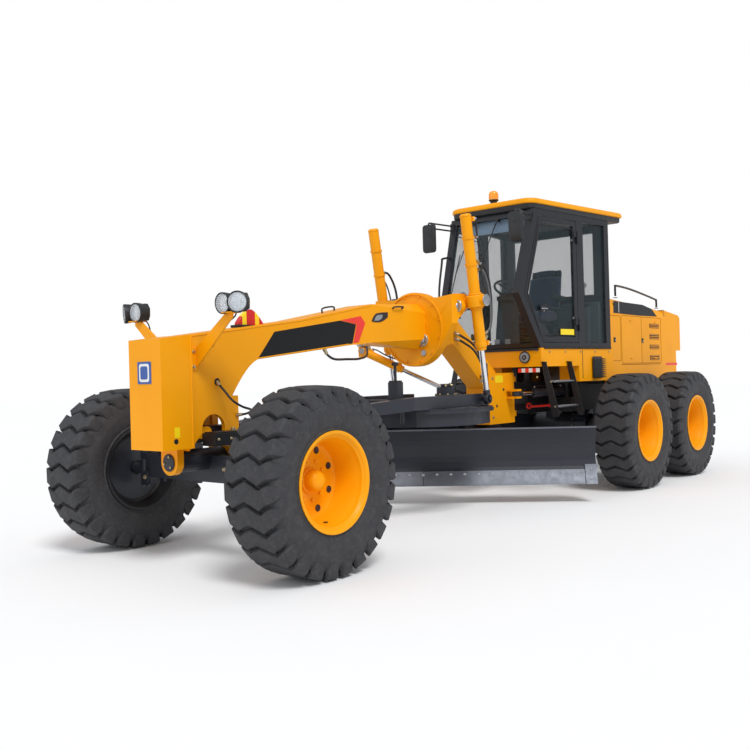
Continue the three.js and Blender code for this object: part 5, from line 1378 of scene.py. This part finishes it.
# ---------------------------------------------------------------- articulation
def articulation_fittings():
    """Lugs and plates at the bend of the machine, and the red bar that locks it."""
    form = Form()
    for _, side in SIDES:
        plate(form, rounded((-4.09, 1.28), (-3.93, 1.36), 0.005), side, 0.1505, tag=1)
        for x, z in ((-3.95, 1.02), (-4.1, 1.2)):
            form.rod((x, side * 0.148, z), (x, side * 0.1525, z), 0.017, 20, tag=2)
        for z in (0.9, 1.33):
            form.bolt((-3.87, side * 0.15, z), (0, side, 0), 0.012, tag=3)
    form.box((-3.8, 0.06, 1.353), (-3.79, 0.14, 1.5), tag=4)
    form.piece("neck_fittings", "front_frame", [YELLOW, LABEL, SEAL, BRASS, GREY], 0.001)
    form = Form()
    form.sweep([(-4.62, 0.2, 0.985), (-5.0, 0.29, 0.985)], 0.013, 12)
    form.lathe([(0.022, -0.009), (0.038, -0.009), (0.038, 0.009), (0.022, 0.009)], (-4.585, 0.19, 0.995),
        (0.25, 1, 0), 28)
    form.block((-4.98, 0.285, 0.985), (0.06, 0.06, 0.05))
    form.rod((-4.98, 0.285, 0.95), (-4.98, 0.285, 1.03), 0.01, 16, tag=1)
    form.sweep([(-4.98, 0.24, 0.985), (-4.98, 0.2, 0.985)], 0.016, 12)
    form.piece("lock_bar", "machine", [RED, STEEL], 0.001)


# ---------------------------------------------------------------- cab skirt and ladders
def cab_skirt():
    """The panels under the cab, its sun visor, headlining and side lockers."""
    form = Form()
    face = CAB_FOOT.x + 0.0005
    for _, side in SIDES:
        lamp_at = (face, side * 0.354, 1.555)
        form.lathe([(0, 0), (0.066, 0.0), (0.068, 0.012), (0.062, 0.018), (0.056, 0.012), (0, 0.01)],
            lamp_at, AHEAD, 40, tag=1)
        form.lathe([(0, 0.009), (0.056, 0.012), (0.054, 0.016), (0, 0.024)], lamp_at, AHEAD, 40, tag=2)
        form.lathe([(0.014, 0.02), (0.026, 0.019), (0.026, 0.026), (0.014, 0.027)], lamp_at, AHEAD, 28,
            tag=3)
        for k in range(6):
            a = side * (0.26 + k * 0.046)
            low, high = sorted((a, a + side * 0.046))
            form.box((face - 0.001, low, 1.385), (face + 0.0015, high, 1.43), tag=(4, 5)[k % 2])
        for z in (1.33, 1.62):
            form.bolt((face, side * 0.5, z), AHEAD, 0.009, tag=6)
    form.box((face - 0.001, -0.53, 1.628), (face + 0.012, 0.53, 1.655), tag=3)
    form.piece("cab_skirt_front", "machine", [YELLOW, PLASTIC, LENS, SEAL, SIGNAL, WHITE, BRASS, GREY],
        0.001)
    form = Form()
    for _, side in SIDES:
        y = cab_y(-5.4)
        form.prism(rounded((-5.575, 1.298), (-5.221, 1.553), 0.02), "y", *span(side, y - 0.008, y + 0.006),
            tag=1)
        for k in range(9):
            z = 1.318 + k * 0.026
            slat = [(y + 0.002, z), (y + 0.018, z - 0.008), (y + 0.019, z - 0.004), (y + 0.003, z + 0.012)]
            form.prism(faced(slat, side), "x", -5.56, -5.236, tag=1)
        form.sweep([(-5.04, side * (cab_y(-5.04) + 0.001), 1.3),
            (-5.04, side * (cab_y(-5.04) + 0.001), 1.63)], 0.004, 6, tag=2)
        form.sweep([(-4.3, side * (cab_y(-4.3) + 0.004), 1.655),
            (-5.64, side * (cab_y(-5.64) + 0.004), 1.655)], 0.012, 8, tag=2)
        for x in (-4.4, -4.7, -5.0, -5.3, -5.6):
            form.bolt((x, side * (cab_y(x) + 0.001), 1.61), (0, side, 0), 0.009, tag=0)
    form.piece("cab_skirt_sides", "machine", [BRASS, PLASTIC, SEAL, LABEL], 0.001)
    form = Form()
    low = [(cab_x(2.97) - 0.05, y, 2.97) for y in (-0.3, 0.3)]
    high = [(cab_x(3.15) - 0.05, y, 3.15) for y in (-0.3, 0.3)]
    sheet = [low[0], low[1], high[1], high[0]]
    form.rings([sheet, [(x - 0.004, y, z) for x, y, z in sheet]], closed=False)
    form.sweep([(x, y, z) for x, y, z in sheet] + [sheet[0]], 0.006, 8, tag=1)
    form.piece("sun_visor", "machine", [VISOR, SEAL])
    form = Form()
    x = cab_x(3.19) - 0.01
    form.rod((x, -0.52, 3.17), (x, 0.52, 3.17), 0.012, 8)
    form.box((-5.6, -0.5, 3.165), (-4.3, 0.5, 3.195), tag=1)
    form.box((-5.6, -0.66, 1.7), (-5.5, 0.66, 2.22), tag=1)
    for _, side in SIDES:
        form.prism(rounded((-5.5, 1.66), (-5.42, 2.16), 0.02), "y", *span(side, 0.36, 0.56), tag=1)
        form.block((-5.45, side * 0.46, 2.18), (0.1, 0.16, 0.05), tag=0)
    form.piece("cab_inside", "machine", [SEAL, LINING], 0.004)


def ladder(name, side):
    """Two flat stiles that lean out, round-nosed rungs with grip studs, and their feet."""
    form = Form()
    top, bottom, flare = 1.5, 0.887, 0.11
    for x in (-4.256, -4.734):
        y = cab_y(x) + 0.001
        stile = [(y, top), (y + 0.05, top), (y + flare + 0.09, bottom + 0.02), (y + flare + 0.07, bottom)]
        stile += [(y + flare + 0.015, bottom), (y + flare, bottom + 0.03), (y, 1.43)]
        form.prism(faced(stile, side), "x", x - 0.006, x + 0.006)
        form.block((x, side * (y + 0.022), top - 0.006), (0.05, 0.05, 0.012))
    for t in (0.38, 0.83):
        z = top + (bottom - top) * t + 0.012
        y = cab_y(-4.5) + flare * t * 0.86 + 0.04
        form.box((-4.73, min(side * (y - 0.034), side * (y + 0.034)), z - 0.01),
            (-4.26, max(side * (y - 0.034), side * (y + 0.034)), z + 0.005), tag=1)
        form.rod((-4.73, side * (y + 0.034), z - 0.003), (-4.26, side * (y + 0.034), z - 0.003), 0.01, 12,
            tag=1)
        for k in range(12):
            for dy in (-0.016, 0.016):
                x = -4.7 + k * 0.037
                form.rod((x, side * (y + dy), z + 0.004), (x, side * (y + dy), z + 0.01), 0.008, 8, tag=1)
        for x in (-4.262, -4.728):
            out = 1 if x > -4.5 else -1
            form.bolt((x + out * 0.011, side * y, z - 0.003), (out, 0, 0), 0.008, tag=2)
    form.piece(f"ladder_{name}_steps", "machine", [BLACK, STEEL, BRASS], 0.001,
        stands_for=[f"ladder_{name}"])


# ---------------------------------------------------------------- hood and tail
def hood_side(side):
    """Films, louvres, doors and the hand rail along one side of the hood."""
    form = Form()
    film = [(-5.985, 2.102), (-5.994, 2.254), (-6.896, 2.243), (-7.2, 2.2), (-7.381, 2.103),
        (-6.752, 2.094)]
    plate(form, film, side, HOOD_SIDE)
    plate(form, [(-6.14, 2.112), (-6.14, 2.246), (-6.152, 2.246), (-6.152, 2.112)], side, 0.6305, 0.0016,
        tag=1)
    plate(form, rounded((-8.145, 1.43), (-7.72, 1.465), 0.003), side, 0.605, tag=2)
    form.piece(f"hood_film_{side > 0:d}", "machine", [DECAL, WHITE, SIGNAL])
    form = Form()
    for low, high in ((1.94, 2.0), (1.79, 1.86), (1.655, 1.715), (1.505, 1.572)):
        plate(form, rounded((-7.44, low), (-7.11, high), 0.012), side, HOOD_SIDE, 0.0015)
        for k in range(3):
            z = low + (high - low) * (k + 0.5) / 3
            lip = [(0.6305, z - 0.001), (0.639, z - 0.005), (0.64, z - 0.002), (0.6305, z + 0.005)]
            form.prism(faced(lip, side), "x", -7.43, -7.12, tag=1)
    # The outlines of the hood's doors and their middle line are thin tubes of darkened yellow: painted shade
    # of the panel gaps.
    outline = rounded((-7.5, 1.468), (-6.21, 2.08), 0.03, 4)
    outline.append(outline[0])
    form.sweep([(x, side * (HOOD_SIDE + 0.0002), z) for x, z in outline], 0.003, 6, tag=3)
    middle_line = [(x, side * (HOOD_SIDE + 0.0002), z) for x, z in ((-6.84, 1.47), (-6.84, 2.078))]
    form.sweep(middle_line, 0.003, 6, tag=3)
    door = rounded((-6.18, 1.5), (-5.8, 2.07), 0.02, 4)
    door.append(door[0])
    form.sweep([(x, side * (HOOD_SIDE + 0.0002), z) for x, z in door], 0.003, 6, tag=3)
    for x in (-6.865, -6.0):
        form.prism(rounded((x - 0.028, 1.735), (x + 0.028, 1.795), 0.008), "y", *span(side, 0.629, 0.636))
        form.block((x, side * 0.638, 1.757), (0.03, 0.008, 0.018), tag=2)
    for x in (-6.5, -7.3):
        for z in (1.53, 2.02):
            form.rod((x - 0.03, side * 0.634, z), (x + 0.03, side * 0.634, z), 0.008, 12, tag=1)
    # The line along the lower edge is darkened yellow as well: painted shade of the gap.
    form.sweep([(-6.19, side * 0.63, 1.452), (-7.45, side * 0.63, 1.452)], 0.004, 6, tag=3)
    form.piece(f"hood_side_{side > 0:d}", "machine", [SEAL, YELLOW, STEEL, GAP_SHADE], 0.0008)
    form = Form()
    rail = [(-6.212, 2.33), (-6.212, 2.44), (-6.25, 2.464), (-6.721, 2.439), (-7.469, 2.355),
        (-7.542, 2.329), (-7.545, 2.24)]
    form.pipe([(x, side * 0.56, z) for x, z in rail], 4, 0.0135, 12)
    for x, z in ((-6.212, 2.31), (-7.545, 2.228)):
        form.lathe([(0, 0), (0.03, 0), (0.03, 0.006), (0, 0.008)], (x, side * 0.56, z - 0.004), UP, 24)
    form.piece(f"hood_rail_{side > 0:d}", "machine", [CAB])


def hood_top():
    """The grille, intake, exhaust and filler on top of the hood."""
    form = Form()
    for k in range(14):
        x = -6.35 - k * 0.045
        z = 2.33 - (x + 5.72) / -1.94 * 0.11
        form.block((x, 0.0, z + 0.002), (0.016, 0.5, 0.01))
    form.button((0.07, 0.12), (0.066, 0.13), 0.13, (-6.1, -0.34, 2.29), UP, 36)
    form.lathe([(0, 0.13), (0.1, 0.13), (0.112, 0.15), (0.112, 0.2), (0.09, 0.225), (0, 0.235)],
        (-6.1, -0.34, 2.29), UP, 40, tag=1)
    pipe = [(-7.0, -0.3, 2.2), (-7.0, -0.3, 2.5), (-7.01, -0.3, 2.56), (-7.06, -0.3, 2.6)]
    form.pipe(pipe, 5, 0.05, 24, tag=2)
    form.lathe([(0.051, 0), (0.075, 0), (0.075, 0.01), (0.051, 0.012)], (-7.0, -0.3, 2.262), UP, 32, tag=2)
    form.sweep([(-7.66, y, z) for y, z in ((-0.62, 1.26), (-0.62, 2.2), (0.62, 2.2), (0.62, 1.26))], 0.004,
        6)
    form.button((0.045, 0.03), (0.04, 0.036), 0.036, (-7.85, 0.2, 2.18), UP, 28, tag=1)
    form.piece("hood_top", "machine", [SEAL, PLASTIC, STEEL], 0.001)


def tail():
    """The radiator's housing with its sunk grille, the lamps beside the foot, and the hitch."""
    front, foot, back, half = -7.6603, -8.12, -8.29, 0.605
    sunk, wide, low, high = -8.25, 0.47, 1.7, 2.08
    form = Form()
    outline = [(front, 1.2403), (front, 2.208), (back + 0.06, 2.15), (back, 2.11), (back, 1.64),
        (foot, 1.64), (foot, 1.2403)]
    for _, side in SIDES:
        form.prism(outline, "y", *span(side, wide, half))
    centre = [(front, 1.2403), (front, 2.208), (back + 0.06, 2.15), (back, 2.11), (back, high),
        (sunk, high)]
    centre += [(sunk, low), (back, low), (back, 1.64), (foot, 1.64), (foot, 1.2403)]
    form.prism(centre, "y", -wide, wide)
    form.piece("radiator_housing", "machine", [YELLOW], 0.005,
        stands_for=["radiator_shroud"])
    form = Form()
    form.box((sunk - 0.004, -wide + 0.003, low + 0.003), (sunk + 0.001, wide - 0.003, high - 0.003))
    for k in range(12):
        z = low + 0.025 + k * 0.03
        form.prism([(sunk - 0.003, z), (back + 0.006, z - 0.006), (back + 0.006, z - 0.001),
            (sunk - 0.003, z + 0.006)], "y", -wide + 0.004, wide - 0.004, tag=1)
    for y in (-0.235, 0.0, 0.235):
        form.box((back + 0.003, y - 0.006, low + 0.004), (back + 0.012, y + 0.006, high - 0.004), tag=1)
    for _, side in SIDES:
        form.prism(rounded((side * 0.53 - 0.05, 1.27), (side * 0.53 + 0.05, 1.6), 0.015), "x", foot - 0.012,
            foot + 0.001)
        for k, material in enumerate((2, 3, 4)):
            z = 1.325 + 0.11 * k
            form.button((0.042, 0.012), (0.034, 0.02), 0.024, (foot - 0.011, side * 0.53, z), BACK, 32,
                tag=material)
        for z in (1.283, 1.588):
            form.bolt((foot - 0.012, side * 0.53, z), BACK, 0.007, tag=5)
    form.piece("tail_grille", "machine", [SEAL, BLACK, RED, AMBER, WHITE, BRASS], 0.001)
    form = Form()
    form.box((-8.15, -0.42, 0.96), (-8.112, 0.42, 1.2))
    for _, side in SIDES:
        for z in (1.0, 1.16):
            form.bolt((-8.15, side * 0.38, z), BACK, 0.013, tag=1)
        form.rod((-8.12, side * 0.3, 1.08), (-8.17, side * 0.3, 1.08), 0.035, 28, tag=2)
    form.box((-8.2, -0.055, 1.02), (-8.15, 0.055, 1.14), tag=2)
    form.rod((-8.185, 0, 0.985), (-8.185, 0, 1.175), 0.02, 20, tag=1)
    form.piece("tail_hitch", "machine", [BLACK, BRASS, SLATE], 0.004)


TANDEM = Vector((-6.219, 0.85, 0.672))


def drive_fittings():
    """Covers of the tandem cases and the axle, and the fittings of the engine."""
    for name, side in SIDES:
        form = Form()
        form.button((0.15, 0.01), (0.13, 0.016), 0.018, (TANDEM.x, side * TANDEM.y, TANDEM.z), (0, side, 0),
            48)
        form.bolt_ring((TANDEM.x, side * (TANDEM.y + 0.014), TANDEM.z), (0, side, 0), 0.13, 12, 0.01, tag=1)
        for x in (-6.62, -5.82):
            form.prism(rounded((x - 0.13, 0.57), (x + 0.13, 0.77), 0.03), "y", *span(side, 0.849, 0.858))
            for dx in (-0.1, 0.1):
                for z in (0.6, 0.74):
                    form.bolt((x + dx, side * 0.857, z), (0, side, 0), 0.009, tag=1)
        form.rod((-6.5, side * 0.735, 0.845), (-6.5, side * 0.735, 0.875), 0.022, 20, tag=1)
        form.piece(f"tandem_{name}_covers", f"tandem_{name}", [SLATE, BRASS], 0.002)
    form = Form()
    centre = (TANDEM.x, 0, 0.68)
    form.lathe([(0, -0.215), (0.12, -0.21), (0.19, -0.14), (0.205, 0.0), (0.19, 0.14), (0.12, 0.21),
        (0, 0.215)], centre, LEFT, 48)
    form.bolt_ring(centre, LEFT, 0.21, 16, 0.009, tag=1)
    form.rod((-6.05, 0, 0.9), (-5.55, 0, 1.05), 0.04, 28, tag=2)
    form.lathe([(0, -0.03), (0.07, -0.03), (0.07, 0.03), (0, 0.03)], (-5.58, 0, 1.04), (0.96, 0, 0.28), 28,
        tag=2)
    form.piece("axle_cover", "machine", [SLATE, BRASS, STEEL], 0.002)
    form = Form()
    for _, side in SIDES:
        for k in range(6):
            x = -6.35 - k * 0.19
            form.button((0.05, 0.04), (0.04, 0.05), 0.05, (x, side * 0.38, 1.75), (0, side, 0), 24)
            form.bolt((x + 0.08, side * 0.38, 1.4), (0, side, 0), 0.012, tag=1)
        form.pipe([(-6.3, side * 0.43, 1.9), (-6.7, side * 0.45, 1.95), (-7.2, side * 0.44, 1.88)], 6, 0.02,
            14, tag=2)
    form.rod((-7.555, -0.1, 1.75), (-7.6, -0.1, 1.75), 0.2, 40, tag=1)
    form.piece("engine_fittings", "machine", [STEEL, BRASS, SEAL], 0.002)


# ---------------------------------------------------------------- hoses
def hose(name, body, points, radius, material):
    """A free hose between two screwed ends, both of them on the machine."""
    form = Form()
    line = curve_points(points, 8)
    form.sweep(line, radius, 12)
    tube = form.piece(name, body, [material])
    form = Form()
    for a, b in ((line[0], line[3]), (line[-1], line[-4])):
        along = (b - a).normalized()
        form.lathe([(radius * 1.02, 0), (radius * 1.45, 0), (radius * 1.45, radius * 4.6),
            (radius * 1.25, radius * 5), (radius * 1.02, radius * 5)], a, along, 20)
        form.lathe([(radius * 1.4, 0), (radius * 1.8, 0), (radius * 1.8, radius * 2),
            (radius * 1.4, radius * 2)], a, along, 6)
    ends = form.piece(name + "_ends", body, [BRASS])


def hoses():
    """Hoses of the nose, the lift cylinders, the swing cylinder and the neck."""
    for name, side in SIDES:
        nose = [(0.062, 0.152, 1.382), (0.062, 0.24, 1.31), (0.04, 0.3, 1.24), (-0.037, 0.32, 1.19)]
        nose += [(-0.13, 0.32, 1.16), (-0.16, 0.23, 1.13), (-0.13, 0.152, 1.12)]
        black = [(-2.898, 0.6, 2.5), (-3.02, 0.6, 2.49), (-3.13, 0.6, 2.34), (-3.17, 0.6, 2.12),
            (-3.15, 0.6, 1.88), (-3.027, 0.6, 1.72)]
        pale = [(-2.901, 0.62, 2.42), (-3.0, 0.63, 2.4), (-3.08, 0.632, 2.24), (-3.105, 0.632, 2.04),
            (-3.09, 0.628, 1.86), (-3.012, 0.615, 1.78)]
        hose(f"nose_hose_{name}", "front_frame", [(x, side * y, z) for x, y, z in nose], 0.009, HOSE)
        hose(f"lift_hose_{name}", f"lift_{name}_barrel", [(x, side * y, z) for x, y, z in black], 0.012,
            HOSE)
        hose(f"lift_hose_white_{name}", f"lift_{name}_barrel", [(x, side * y, z) for x, y, z in pale], 0.009,
            GREY)
    swing = [(-1.206, 0.1, 1.646), (-1.249, 0.1, 1.59), (-1.353, 0.09, 1.553), (-1.554, 0.06, 1.553),
        (-1.85, -0.05, 1.56)]
    swing += [(-2.2, -0.25, 1.6), (-2.48, -0.48, 1.71), (-2.6, -0.56, 1.73), (-2.63, -0.574, 1.667)]
    hose("swing_hose", "front_frame", swing, 0.011, HOSE)
    for k in range(2):
        neck = [(-3.2, 0.118, 1.82), (-3.24, 0.19, 1.78), (-3.36, 0.26, 1.68), (-3.52, 0.26, 1.5),
            (-3.63, 0.2, 1.39), (-3.69, 0.118, 1.36)]
        hose(f"neck_hose_{k}", "front_frame", [(x, y, z - 0.055 * k) for x, y, z in neck], 0.012, HOSE)


for _, side in SIDES:
    beam_films(side)
    hood_side(side)
for name, side in SIDES:
    ladder(name, side)
nose_fittings()
saddle_fittings()
drawbar_fittings()
circle_fittings()
blade_fittings()
under_nose()
axle_fittings()
articulation_fittings()
cab_skirt()
hood_top()
tail()
drive_fittings()
hoses()


# ---------------------------------------------------------------- floor
FLOOR_HALF = 60
floor_mesh = bpy.data.meshes.new("floor")
corners = [(u * FLOOR_HALF, v * FLOOR_HALF, 0) for u, v in ((-1, -1), (1, -1), (1, 1), (-1, 1))]
floor_mesh.from_pydata(corners, [], [(0, 1, 2, 3)])
floor = put("floor", floor_mesh)
ground = Shade("floor", (0.93, 0.93, 0.93, 1), 0.9)
ground.tint(ground.ramp(ground.noise(0.8, 3), 0.4, 0.8, 0, 0.3), (0.9, 0.9, 0.9, 1))
floor_mesh.materials.append(ground.material)
